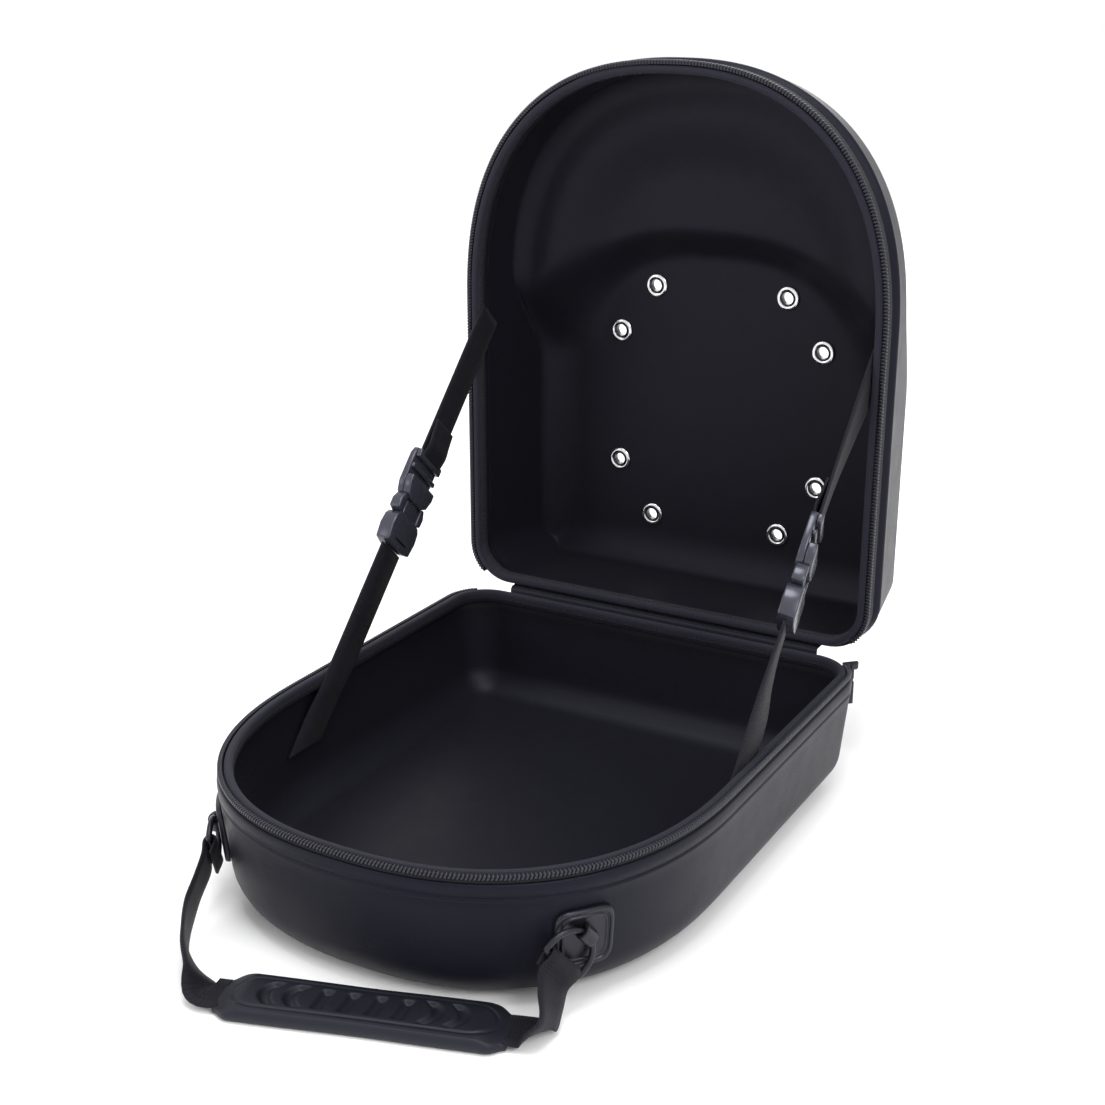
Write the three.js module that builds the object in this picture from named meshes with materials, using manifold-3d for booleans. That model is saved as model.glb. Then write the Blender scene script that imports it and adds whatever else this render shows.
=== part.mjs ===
// A hard-shell carrier case for caps, lying open on its back. A tray with a round front end carries a
// moulded lid, which stands on a cloth hinge at the straight rear end and is stopped by two stay straps.
// Millimetres, +Z up, the round end towards -Y. The origin is the middle of the tray's flat back.

import * as THREE from 'three';
import { mergeVertices } from 'three/addons/utils/BufferGeometryUtils.js';
import Module from 'manifold-3d';

const wasm = await Module();
wasm.setup();

// Outline of both halves, seen square on: a straight hinge edge, straight sides and a round end
const caseLength = 380;
const caseWidth = 310;
const sideLength = 212; // from the hinge edge to where the round end begins
const endPower = 2.35; // 2 is an ellipse, more is squarer
const hingeCorner = 32;
const wall = 3.5; // padded board with its cloth
const clearance = 0.3; // between pieces that touch

// Tray
const baseDepth = 82; // from its back to the parting plane
const backFillet = 22;
const draft = 7; // how far the wall leans in towards the back
const rimBand = 12; // upright top of the wall, above the draft

// Lid
const lidDepth = 98; // from the parting plane to the crown block's face
const lidDraft = 9.5; // how far the sides and the round end lean in up to the face
const openAngle = 90;
const sideDrop = 16; // from the face to the top of the side wall, round the block's edge
const blockRound = 30;
const shoulderHeight = 61; // of the low shoulder round the dome
const shoulderDrop = 11;
const shoulderRound = 14;
const domeHeight = 76;
const valleyHeight = 50;
const blendWidth = 9;
// The lid's forms as shares of the case's length, and of their own spread
const blockStart = 0.434;
const blockEnd = 0.765;
const blockPower = 2.6;
const blockFlat = 0.66;
const domeFlat = 0.56;
const domeFoot = 0.86;
const lidMiddle = 0.42;
const lidRings = [0.985, 0.95, 0.9, 0.83, 0.75, 0.67, 0.6, 0.53, 0.46, 0.38, 0.2];

// Rim: the zip chain lies on the parting plane, with a groove above it and a rolled binding inside
const chainHalf = 5;
const chainThickness = 3.2;
const tapeHeight = 5.7;
const tapeThickness = 1.3;
const grooveDepth = 5;
const grooveHeight = 6;
const grooveSlope = 5;
const bindingWidth = 5.2;
const bindingHeight = 8.7;

// Eyelets: centres as shares of the case's width and length
const eyeletRows = [
  { across: 0.1745, along: 0.585 },
  { across: 0.2705, along: 0.489 },
  { across: 0.2705, along: 0.223 },
  { across: 0.1745, along: 0.116 },
];
const eyeletBore = 8.6;
const eyeletBarrel = 10.4;
const eyeletFlange = 18;
const washerDiameter = 17;

// Stay straps and their side-release buckles
const stayAlong = 200; // lid end, from the hinge
const stayInto = 16; // lid end, from the parting plane into the lid
const stayFromHinge = 175; // where the strap crosses the tray's rim
const stayTail = 45; // depth of the sewn end in the tray
const webWidth = 25;
const webThickness = 1.6;
const buckleLength = 72;
const buckleWidth = 34;
const buckleThickness = 11;
const buckleShare = 0.56; // of the way from the lid to the rim

// Handle
const patchAngle = 41; // round the end, 90 is its tip
const patchHeight = 40;
const patchWidth = 34;
const patchTall = 36;
const patchThickness = 2.4;
const patchBorder = 1;
const ringWire = 3.6;
const ringInside = 26;
const ringLegs = 5;
const ringPull = { left: 60, right: 50 }; // degrees between a ring's pull and straight down
const ringRise = 3.2; // how much further out the bar lies than the bow
const bridgeWidth = 8;
const bridgeThickness = 2;
const gripLength = 158;
const gripWidth = 36;
const gripThickness = 9;
const gripAngle = 17.6;
const gripPlace = { x: 28, beyondTip: 18 };

// Zip slider and pull
const sliderLength = 11;
const sliderHeight = 5;
const sliderThickness = 5;
const pullLength = 25;
const pullWidth = 4;
const pullThickness = 1.8;

const radians = THREE.MathUtils.degToRad;
const hingeSteps = 3;
const cornerSteps = 4;
const sideSteps = 6;
const endSteps = 12;
const group = new THREE.Group();

const finishes = {
  shellCloth: { color: 0x1b1a20, roughness: 0.55, metalness: 0 },
  bindingCloth: { color: 0x2a2930, roughness: 0.8, metalness: 0 },
  zipCoil: { color: 0x17171b, roughness: 0.45, metalness: 0.1 },
  webbing: { color: 0x16161a, roughness: 0.85, metalness: 0 },
  blackPlastic: { color: 0x141416, roughness: 0.4, metalness: 0 },
  gripRubber: { color: 0x17181d, roughness: 0.6, metalness: 0 },
  blackEyelet: { color: 0x0c0c0e, roughness: 0.2, metalness: 0.6 },
  brightMetal: { color: 0xc9cacc, roughness: 0.2, metalness: 1 },
};

function addPiece(parent, name, geometry, finish) {
  const mesh = new THREE.Mesh(geometry, new THREE.MeshStandardMaterial(finishes[finish]));
  mesh.name = name;
  parent.add(mesh);
  return mesh;
}

function smooth(value, low, high) {
  return THREE.MathUtils.smoothstep(value, low, high);
}

// A closed skin through rings of equal count. The ends close on two points, or the last ring meets the
// first where there are none. A band's two faces are cut along the same diagonals, so they stay apart
// where it twists.
function skin(rings, ends, isBand = false) {
  const count = rings[0].length;
  const points = rings.flat();
  const index = [];
  const bands = ends ? rings.length - 1 : rings.length;
  for (let band = 0; band < bands; band++) {
    const here = band * count;
    const next = ((band + 1) % rings.length) * count;
    for (let i = 0; i < count; i++) {
      const j = (i + 1) % count;
      if (isBand && i >= count / 2) {
        index.push(here + i, here + j, next + j, here + i, next + j, next + i);
      } else {
        index.push(here + i, here + j, next + i, here + j, next + j, next + i);
      }
    }
  }
  if (ends) {
    const last = (rings.length - 1) * count;
    const tip = points.length;
    points.push(...ends);
    for (let i = 0; i < count; i++) {
      const j = (i + 1) % count;
      index.push(tip, j, i, tip + 1, last + i, last + j);
    }
  }
  return facingOut(points, index);
}

// Turns the triangles over where they enclose a negative volume.
function facingOut(points, index) {
  let volume = 0;
  const cross = new THREE.Vector3();
  for (let i = 0; i < index.length; i += 3) {
    cross.crossVectors(points[index[i + 1]], points[index[i + 2]]);
    volume += points[index[i]].dot(cross);
  }
  if (volume < 0) index.reverse();
  const geometry = new THREE.BufferGeometry().setFromPoints(points);
  geometry.setIndex(index);
  geometry.computeVertexNormals();
  return geometry;
}

function toSolid(geometry) {
  const bare = geometry.clone();
  bare.deleteAttribute('normal');
  bare.deleteAttribute('uv');
  const merged = mergeVertices(bare, 1e-4);
  return new wasm.Manifold(new wasm.Mesh({
    numProp: 3,
    vertProperties: new Float32Array(merged.attributes.position.array),
    triVerts: new Uint32Array(merged.index.array),
  }));
}

function toGeometry(solid) {
  const mesh = solid.getMesh();
  const geometry = new THREE.BufferGeometry();
  geometry.setAttribute('position', new THREE.BufferAttribute(mesh.vertProperties, 3));
  geometry.setIndex(new THREE.BufferAttribute(mesh.triVerts, 1));
  geometry.computeVertexNormals();
  return geometry;
}

// A point of the round end, moved in by inset. The angle is 0 where the side ends and 90 at the tip.
function roundEnd(angle, inset) {
  const across = caseWidth / 2 - inset;
  const reach = caseLength - inset - sideLength;
  return new THREE.Vector2(
    across * Math.pow(Math.cos(radians(angle)), 2 / endPower),
    sideLength + reach * Math.pow(Math.sin(radians(angle)), 2 / endPower)
  );
}

// Half the width at a distance from the hinge edge, moved in by inset.
function halfWidth(along, inset) {
  const share = Math.max(along - sideLength, 0) / (caseLength - inset - sideLength);
  return (caseWidth / 2 - inset) * Math.pow(1 - Math.pow(share, endPower), 1 / endPower);
}

// The whole outline, moved in by inset: x across, y from the hinge edge. It runs from the middle of the
// hinge edge up the right side to the tip and back down the left.
function outline(inset) {
  const half = caseWidth / 2 - inset;
  const corner = Math.max(hingeCorner - inset, 4);
  const right = [];
  for (let i = 0; i < hingeSteps; i++) {
    right.push(new THREE.Vector2(((half - corner) * i) / hingeSteps, inset));
  }
  for (let i = 0; i <= cornerSteps; i++) {
    const turn = radians(90 * (i / cornerSteps - 1));
    right.push(new THREE.Vector2(
      half - corner + corner * Math.cos(turn),
      inset + corner + corner * Math.sin(turn)
    ));
  }
  for (let i = 1; i < sideSteps; i++) {
    right.push(new THREE.Vector2(half, THREE.MathUtils.lerp(inset + corner, sideLength, i / sideSteps)));
  }
  for (let i = 0; i <= endSteps; i++) right.push(roundEnd((90 * i) / endSteps, inset));
  right[right.length - 1].x = 0;
  const left = right.slice(1, -1).reverse().map((point) => new THREE.Vector2(-point.x, point.y));
  return [...right, ...left];
}

// Places a point of the outline plane on the tray, at a height above its back.
function onTray(point, height) {
  return new THREE.Vector3(point.x, caseLength / 2 - point.y, height);
}

// Places a point of the outline plane in the lid, at a depth from the parting plane.
function inLid(point, depth) {
  return new THREE.Vector3(point.x, -point.y, depth);
}

// How far the tray's wall leans in at a height.
function lean(height) {
  return draft * Math.max(0, 1 - height / (baseDepth - rimBand));
}

function trayRings(offset) {
  const radius = backFillet - offset;
  const steps = [0, 30, 60, 90].map((angle) => {
    const height = offset + radius * (1 - Math.cos(radians(angle)));
    return { inset: offset + radius * (1 - Math.sin(radians(angle))) + lean(height), height };
  });
  steps.push({ inset: offset, height: baseDepth - rimBand });
  steps.push({ inset: offset, height: baseDepth - chainHalf - clearance });
  return steps.map(({ inset, height }) => outline(inset).map((point) => onTray(point, height)));
}

function trayShell() {
  const middle = new THREE.Vector2(0, caseLength / 2);
  const rings = [...trayRings(0), ...trayRings(wall).reverse()];
  return skin(rings, [onTray(middle, 0), onTray(middle, wall)]);
}

// Distance from the middle of an arch-shaped form, 1 on its edge.
function archShare(point, start, end, half, power) {
  const across = Math.abs(point.x) / half;
  if (point.y <= start) return across;
  const along = (point.y - start) / (end - start);
  return Math.pow(Math.pow(across, power) + Math.pow(along, power), 1 / power);
}

// Quarter-round edge: 0 up to from, 1 at the edge, upright there.
function roundedOver(share, from) {
  const reach = THREE.MathUtils.clamp((share - from) / (1 - from), 0, 1);
  return 1 - Math.sqrt(1 - reach * reach);
}

// Depth of the lid's outer skin over a point of the outline plane: a low shoulder with a dome at the round
// end, and a deep block with a flat face at the hinge end, blended where they meet.
function lidHeight(point) {
  const half = caseWidth / 2;
  const border = archShare(point, sideLength, caseLength, half, endPower);
  const shoulder = shoulderHeight - shoulderDrop * roundedOver(border, 1 - shoulderRound / half);
  const dome = (domeHeight - shoulderHeight) * (1 - smooth(border, domeFlat, domeFoot));
  const low = shoulder + dome;

  const start = blockStart * caseLength;
  const block = archShare(point, start, blockEnd * caseLength, half, blockPower);
  const edge = Math.max(block, 1 - point.y / half);
  const ending = smooth(point.y, start, sideLength + blockRound);
  const sideFall = sideDrop * roundedOver(edge, 1 - blockRound / half);
  const endFall = (lidDepth - valleyHeight) * smooth(block, blockFlat, 1);
  const high = lidDepth - THREE.MathUtils.lerp(sideFall, endFall, ending);

  const meet = Math.max(blendWidth - Math.abs(high - low), 0);
  return Math.max(high, low) + (meet * meet) / (4 * blendWidth);
}

// Where the lid's upright wall begins, above the zip and the groove.
const lidRimStart = chainHalf + tapeHeight + clearance;
const lidWallStart = lidRimStart + grooveHeight + grooveSlope;

// Places a point of the outline plane in the lid, drawn in towards the hinge's middle as its wall leans.
function leanInLid(point, depth) {
  const share = Math.max(depth - lidWallStart, 0) / (lidDepth - lidWallStart);
  return inLid(new THREE.Vector2(
    point.x * (1 - (share * lidDraft * 2) / caseWidth),
    point.y * (1 - (share * lidDraft) / caseLength)
  ), depth);
}

// The rim ring tucked in behind the zip, except along the hinge.
function tuckedOutline(inset) {
  const tucked = outline(inset + grooveDepth);
  return outline(inset).map((point, i) => point.lerp(tucked[i], smooth(point.y, 0, hingeCorner)));
}

function lidSkin() {
  const middle = new THREE.Vector2(0, lidMiddle * caseLength);
  const outer = outline(0);
  const inner = outline(wall);
  const depths = outer.map((point) => lidHeight(point));
  const rings = [];
  for (const share of [...lidRings].reverse()) {
    rings.push(outer.map((point) => {
      const place = middle.clone().lerp(point, share);
      return leanInLid(place, lidHeight(place));
    }));
  }
  rings.push(outer.map((point, i) => leanInLid(point, depths[i])));
  rings.push(outer.map((point) => inLid(point, lidWallStart)));
  rings.push(tuckedOutline(0).map((point) => inLid(point, lidRimStart + grooveHeight)));
  rings.push(tuckedOutline(0).map((point) => inLid(point, lidRimStart)));
  rings.push(tuckedOutline(wall).map((point) => inLid(point, lidRimStart)));
  rings.push(tuckedOutline(wall).map((point) => inLid(point, lidRimStart + grooveHeight)));
  rings.push(inner.map((point) => inLid(point, lidWallStart)));
  rings.push(inner.map((point, i) => leanInLid(point, depths[i] - wall)));
  for (const share of lidRings) {
    rings.push(inner.map((point, i) => {
      const above = middle.clone().lerp(outer[i], share);
      return leanInLid(middle.clone().lerp(point, share), lidHeight(above) - wall);
    }));
  }
  const top = lidHeight(middle);
  return skin(rings, [leanInLid(middle, top), leanInLid(middle, top - wall)]);
}

function eyeletPlaces() {
  const places = [];
  for (const { across, along } of eyeletRows) {
    for (const side of [-1, 1]) {
      places.push(new THREE.Vector2(side * across * caseWidth, along * caseLength));
    }
  }
  return places;
}

function lidShell() {
  let shell = toSolid(lidSkin());
  for (const place of eyeletPlaces()) {
    const drill = new THREE.CylinderGeometry(
      eyeletBarrel / 2 + clearance, eyeletBarrel / 2 + clearance, lidDepth, 12
    );
    drill.rotateX(radians(90));
    const at = leanInLid(place, lidHeight(place));
    drill.translate(at.x, at.y, at.z);
    shell = shell.subtract(toSolid(drill));
  }
  return toGeometry(shell);
}

// A turned ring about the lid's depth axis, from a closed profile of radius and depth.
function turned(profile) {
  const loop = [...profile, profile[0]].map(([radius, depth]) => new THREE.Vector2(radius, depth));
  return new THREE.LatheGeometry(loop.reverse(), 12).rotateX(radians(90));
}

function eyelet() {
  const bore = eyeletBore / 2;
  const barrel = eyeletBarrel / 2;
  const flange = eyeletFlange / 2;
  return turned([
    [bore, 0.9], [barrel + 1.2, 1.7], [flange, clearance], [barrel, clearance],
    [barrel, -wall - 1.6], [bore, -wall - 1.6],
  ]);
}

function washer() {
  const edge = washerDiameter / 2;
  const hole = eyeletBarrel / 2 + clearance;
  const seat = -wall - clearance;
  return turned([[hole, seat], [edge, seat], [edge - 1.6, seat - 1.5], [hole, seat - 0.9]]);
}

// A strip that follows the rim, from a profile of inset and depth; whole, or with ends at the zip's ends.
function rimStrip(profile, place, whole) {
  const lines = profile.map(([inset]) => outline(inset));
  const count = lines[0].length;
  const first = whole ? 0 : hingeSteps + cornerSteps / 2;
  const last = whole ? count - 1 : count - first;
  const rings = [];
  for (let i = first; i <= last; i++) {
    rings.push(profile.map(([, depth], k) => place(lines[k][i], depth)));
  }
  return skin(rings, whole ? undefined : [middleOf(rings[0]), middleOf(rings[rings.length - 1])]);
}

function middleOf(ring) {
  const sum = new THREE.Vector3();
  for (const point of ring) sum.add(point);
  return sum.divideScalar(ring.length);
}

const bindingSeat = clearance + wall;
const bindingTop = bindingSeat + bindingWidth;

function bindingProfile(outerEnd) {
  return [
    [bindingSeat, outerEnd], [bindingSeat, 1.2], [bindingSeat + 1.4, clearance],
    [bindingTop - 1.4, clearance], [bindingTop, 1.8], [bindingTop, outerEnd],
  ];
}

// A flat band along points, each with the direction that the band's width takes there. No part of it lies
// below the floor.
function band(points, across, width, thickness) {
  const rings = points.map((point, i) => {
    const before = points[Math.max(i - 1, 0)];
    const after = points[Math.min(i + 1, points.length - 1)];
    const along = after.clone().sub(before).normalize();
    const side = across[i].clone().addScaledVector(along, -along.dot(across[i])).normalize();
    const face = new THREE.Vector3().crossVectors(along, side);
    const lowest = clearance + (Math.abs(side.z) * width) / 2 + (Math.abs(face.z) * thickness) / 2;
    const middle = new THREE.Vector3(point.x, point.y, Math.max(point.z, lowest));
    const corner = (a, b) => middle.clone()
      .addScaledVector(side, (a * width) / 2).addScaledVector(face, (b * thickness) / 2);
    return [corner(-1, -1), corner(1, -1), corner(1, 1), corner(-1, 1)];
  });
  return skin(rings, [middleOf(rings[0]), middleOf(rings[rings.length - 1])], true);
}

// Places of one stay, on its side of the case.
function stayPlaces(side) {
  const inside = caseWidth / 2 - bindingTop - clearance - 0.2 - webThickness / 2;
  const turn = radians(openAngle);
  const lidEnd = new THREE.Vector3(
    side * inside,
    caseLength / 2 - stayAlong * Math.cos(turn) + stayInto * Math.sin(turn),
    baseDepth + stayAlong * Math.sin(turn) + stayInto * Math.cos(turn)
  );
  const rim = new THREE.Vector3(side * inside, caseLength / 2 - stayFromHinge, baseDepth);
  const along = rim.clone().sub(lidEnd).normalize();
  const across = new THREE.Vector3(0, along.z, -along.y);
  return { lidEnd, rim, along, across };
}

function addStay(side, name) {
  const { lidEnd, rim, along, across } = stayPlaces(side);
  const middle = lidEnd.clone().lerp(rim, buckleShare);
  const reach = buckleLength / 2 + clearance;
  const upper = [lidEnd, middle.clone().addScaledVector(along, -reach)];
  addPiece(group, `stay_strap_upper_${name}`,
    band(upper, [across, across], webWidth, webThickness), 'webbing');

  // Below the binding the strap moves out to the wall, where its end is sewn down. Each cut but the first
  // is level, so the strap moves out evenly over its width.
  const tailPlace = stayFromHinge + (stayTail * Math.abs(along.y) + webWidth / 2) / Math.abs(along.z);
  const wallSide = halfWidth(tailPlace, wall + lean(baseDepth - stayTail))
    - 2 * clearance - webThickness / 2;
  const thick = new THREE.Vector3(webThickness / 2, 0, 0);
  const squareHalf = across.clone().multiplyScalar(webWidth / 2);
  const levelHalf = new THREE.Vector3(0, (Math.sign(across.y) * webWidth) / 2 / Math.abs(along.z), 0);
  const cut = (point, half) => [
    point.clone().sub(half).sub(thick), point.clone().add(half).sub(thick),
    point.clone().add(half).add(thick), point.clone().sub(half).add(thick),
  ];
  const rings = [cut(middle.clone().addScaledVector(along, reach), squareHalf)];
  for (const [depth, out] of [[-bindingHeight, 0], [0.5, 0], [4, 0.25], [10, 0.8], [14, 1], [stayTail, 1]]) {
    const down = depth < stayTail ? bindingHeight + depth : depth;
    const point = rim.clone().addScaledVector(along, -down / along.z);
    point.x = side * THREE.MathUtils.lerp(Math.abs(rim.x), wallSide, out);
    rings.push(cut(point, levelHalf));
  }
  const ends = [rings[0], rings[rings.length - 1]].map(middleOf);
  addPiece(group, `stay_strap_lower_${name}`, skin(rings, ends), 'webbing');

  const buckle = addPiece(group, `stay_buckle_${name}`, buckleBody(), 'blackPlastic');
  const basis = new THREE.Matrix4().makeBasis(across, along, new THREE.Vector3().crossVectors(across, along));
  buckle.applyMatrix4(basis);
  buckle.position.copy(middle);
}

// Side-release buckle: a wide socket end, a waist with the two side prongs, and a narrower plug end.
function buckleBody() {
  const half = buckleWidth / 2;
  const end = buckleLength / 2;
  const right = [
    [0.42 * half, end], [0.92 * half, end - 2], [half, 0.62 * end], [0.84 * half, 0.36 * end],
    [0.96 * half, 0.12 * end], [0.74 * half, -0.12 * end], [0.98 * half, -0.3 * end],
    [0.98 * half, -0.86 * end], [0.85 * half, -end],
  ];
  const shape = new THREE.Shape([...right, ...right.map(([x, y]) => [-x, y]).reverse()]
    .map(([x, y]) => new THREE.Vector2(x, y)));
  const body = new THREE.ExtrudeGeometry(shape, { depth: buckleThickness, bevelEnabled: false });
  return body.translate(0, 0, -buckleThickness / 2);
}

// A frame on the tray's outer wall at a patch: along runs towards the tip, out away from the wall. The
// pull is the way its ring is drawn.
function wallFrame(side, name) {
  const at = (angle, height) => {
    const point = roundEnd(angle, lean(height));
    return onTray(new THREE.Vector2(side * point.x, point.y), height);
  };
  const step = 0.5;
  const origin = at(patchAngle, patchHeight);
  const along = at(patchAngle + step, patchHeight).sub(at(patchAngle - step, patchHeight));
  const speed = along.length() / (2 * step);
  const up = at(patchAngle, patchHeight + 1).sub(origin).normalize();
  along.normalize();
  const out = new THREE.Vector3().crossVectors(up, along).multiplyScalar(side).normalize();
  const onWall = (a, b, o) => at(patchAngle + a / speed, patchHeight + b).addScaledVector(out, o);
  const offWall = (a, b, o) => origin.clone()
    .addScaledVector(along, a).addScaledVector(up, b).addScaledVector(out, o);
  const turn = radians(ringPull[name]);
  return { onWall, offWall, pull: { a: Math.sin(turn), b: -Math.cos(turn) } };
}

// Measures of the ring in its patch's frame: the bow's top lies under the bridge, the bar hangs beyond.
const ringRadius = (ringInside + ringWire) / 2;
const bowTop = { a: 0, b: 4 };
const bowOut = clearance + patchThickness + clearance + ringWire / 2 + 0.2;
const barReach = ringRadius + ringLegs;

// A place in the ring's plane: forward along the pull from the bow's top, sideways along the bar.
function ringPlace(frame, forward, sideways, lift = 0) {
  return frame.offWall(
    bowTop.a + frame.pull.a * forward - frame.pull.b * sideways,
    bowTop.b + frame.pull.b * forward + frame.pull.a * sideways,
    bowOut + (ringRise * forward) / barReach + lift
  );
}

function patchBody(frame) {
  const count = 16;
  const profile = [
    [0.5, clearance], [1, clearance], [1, patchThickness], [0.93, patchThickness + patchBorder],
    [0.83, patchThickness + patchBorder], [0.77, patchThickness], [0.4, patchThickness],
  ];
  const rings = profile.map(([share, out]) => {
    const ring = [];
    for (let i = 0; i < count; i++) {
      const turn = (2 * Math.PI * (i + 0.5)) / count;
      const bulge = (value) => Math.sign(value) * Math.pow(Math.abs(value), 0.45);
      ring.push(frame.onWall(
        ((share * patchWidth) / 2) * bulge(Math.cos(turn)),
        ((share * patchTall) / 2) * bulge(Math.sin(turn)), out
      ));
    }
    return ring;
  });
  const plate = skin(rings, [frame.onWall(0, 0, clearance), frame.onWall(0, 0, patchThickness)]);
  return toGeometry(toSolid(plate).add(toSolid(bridge(frame))));
}

// The bridge over the bow: an upside-down U across the wire, swept along it.
function bridge(frame) {
  const room = ringWire / 2 + 0.7;
  const outside = room + bridgeThickness;
  const top = ringWire / 2 + 0.4;
  const foot = patchThickness - 0.8 - bowOut;
  const section = [
    [-outside, foot], [-room, foot], [-room, top], [room, top], [room, foot], [outside, foot],
    [outside, top + bridgeThickness], [-outside, top + bridgeThickness],
  ];
  const shape = new THREE.Shape(section.map(([x, y]) => new THREE.Vector2(x, y)));
  const body = new THREE.ExtrudeGeometry(shape, { depth: bridgeWidth, bevelEnabled: false });
  const base = ringPlace(frame, 0, -bridgeWidth / 2);
  const basis = new THREE.Matrix4().makeBasis(
    ringPlace(frame, 1, -bridgeWidth / 2).sub(base),
    ringPlace(frame, 0, -bridgeWidth / 2, 1).sub(base),
    ringPlace(frame, 0, -bridgeWidth / 2 + 1).sub(base)
  );
  const bent = body.applyMatrix4(basis);
  bent.translate(base.x, base.y, base.z);
  const merged = mergeVertices(bareCopy(bent), 1e-4);
  const position = merged.attributes.position;
  const points = [];
  for (let i = 0; i < position.count; i++) points.push(new THREE.Vector3().fromBufferAttribute(position, i));
  return facingOut(points, Array.from(merged.index.array));
}

function bareCopy(geometry) {
  const bare = geometry.clone();
  bare.deleteAttribute('normal');
  bare.deleteAttribute('uv');
  return bare;
}

// A closed wire through centre points, with a round section of six sides.
function wireLoop(points, diameter, flat) {
  const rings = points.map((point, i) => {
    const before = points[(i + points.length - 1) % points.length];
    const after = points[(i + 1) % points.length];
    const along = after.clone().sub(before).normalize();
    const side = new THREE.Vector3().crossVectors(along, flat).normalize();
    const ring = [];
    for (let k = 0; k < 6; k++) {
      const turn = radians(60 * k);
      ring.push(point.clone()
        .addScaledVector(side, (Math.cos(turn) * diameter) / 2)
        .addScaledVector(flat, (Math.sin(turn) * diameter) / 2));
    }
    return ring;
  });
  return skin(rings);
}

function ringBody(frame) {
  const points = [];
  for (let turn = -90; turn <= 90; turn += 15) {
    const angle = radians(turn);
    points.push(ringPlace(frame, ringRadius - ringRadius * Math.cos(angle), ringRadius * Math.sin(angle)));
  }
  for (const sideways of [1, 0.94, 0, -0.94, -1]) {
    const forward = barReach - (Math.abs(sideways) === 1 ? 1.2 : 0);
    points.push(ringPlace(frame, forward, sideways * ringRadius));
  }
  const flat = ringPlace(frame, 0, 0, 1).sub(ringPlace(frame, 0, 0)).normalize();
  return wireLoop(points, ringWire, flat);
}

// Where the grip lies on the floor in front of the tray.
const gripMiddle = new THREE.Vector3(gripPlace.x, -caseLength / 2 - gripPlace.beyondTip, gripThickness / 2);
const gripAlong = new THREE.Vector3(Math.cos(radians(gripAngle)), Math.sin(radians(gripAngle)), 0);
const gripAcross = new THREE.Vector3(-gripAlong.y, gripAlong.x, 0);

function gripBody() {
  const stations = [
    { along: -1, half: 0.72, top: 0.62 }, { along: -0.94, half: 0.9, top: 0.78 },
    { along: -0.6, half: 1, top: 1 }, { along: 0, half: 0.96, top: 1 },
    { along: 0.6, half: 1, top: 1 }, { along: 0.94, half: 0.9, top: 0.78 },
    { along: 1, half: 0.72, top: 0.62 },
  ];
  const rings = stations.map(({ along, half, top }) => {
    const section = [[-0.94, 0], [-1, 0.3], [-0.9, 0.78], [-0.7, 1], [0.7, 1], [0.9, 0.78], [1, 0.3], [0.94, 0]];
    return section.map(([across, up]) => {
      const place = gripMiddle.clone().addScaledVector(gripAlong, (along * gripLength) / 2)
        .addScaledVector(gripAcross, (across * half * gripWidth) / 2);
      place.z = up * top * gripThickness;
      return place;
    });
  });
  return skin(rings, [middleOf(rings[0]), middleOf(rings[rings.length - 1])]);
}

// A place on the grip's line, beyond its end.
function gripEnd(side, beyond) {
  return gripMiddle.clone().addScaledVector(gripAlong, side * (gripLength / 2 + clearance + beyond));
}

// The webbing from a ring's bar to the grip's end: sewn round the bar, then along the route. Each station
// of the route holds its share of the way from the bar to the grip, and, as shares of the webbing's
// width, its distance out from that line and its height, with the way its own width points.
function handleWeb(side, frame, route) {
  const round = ringWire / 2 + 2 * clearance + webThickness / 2;
  const bar = (forward, lift) => ringPlace(frame, barReach + forward, 0, lift);
  const points = [
    bar(8, -1.2), bar(0.6, -round), bar(-round * 0.8, -round * 0.7), bar(-round * 1.1, 0),
    bar(-round * 0.8, round * 0.7), bar(0.6, round), bar(8, round),
  ];
  const barWay = ringPlace(frame, barReach, 1).sub(bar(0, 0)).normalize();
  const across = points.map(() => barWay);
  const start = points[points.length - 1];
  const end = gripEnd(side, 8);
  const way = end.clone().sub(start).setZ(0).normalize();
  const outward = new THREE.Vector3(side * -way.y, side * way.x, 0);
  for (const { share, out, height, width } of route) {
    const place = start.clone().lerp(end, share).addScaledVector(outward, out * webWidth);
    points.push(place.setZ(height * webWidth));
    across.push(new THREE.Vector3(...width));
  }
  for (const beyond of [8, 0]) {
    points.push(gripEnd(side, beyond));
    across.push(gripAcross.clone().negate());
  }
  return band(points, across, webWidth, webThickness);
}

const webRoutes = {
  left: [
    { share: 0.16, out: 0.22, height: 0.86, width: [0.2, -0.25, 0.95] },
    { share: 0.36, out: 0.42, height: 0.6, width: [0, 0, 1] },
    { share: 0.58, out: 0.45, height: 0.52, width: [0, -0.1, 1] },
    { share: 0.76, out: 0.34, height: 0.42, width: [0.1, -0.5, 0.85] },
    { share: 0.9, out: 0.16, height: 0.25, width: [0.25, -0.8, 0.5] },
  ],
  right: [
    { share: 0.4, out: 0.2, height: 0.72, width: [-0.2, -0.6, 0.75] },
    { share: 0.85, out: 0.42, height: 0.42, width: [0.07, -0.7, 0.7] },
  ],
};

// Tray
addPiece(group, 'base_shell', trayShell(), 'shellCloth');
const onRim = (point, depth) => onTray(point, baseDepth - depth);
addPiece(group, 'base_binding', rimStrip(bindingProfile(bindingHeight), onRim, true), 'bindingCloth');
addPiece(group, 'base_zip_tape', rimStrip([
  [0.2, chainHalf], [0.2, clearance], [0.2 + chainThickness, clearance], [0.2 + chainThickness, chainHalf],
], onRim, false), 'zipCoil');

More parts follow.
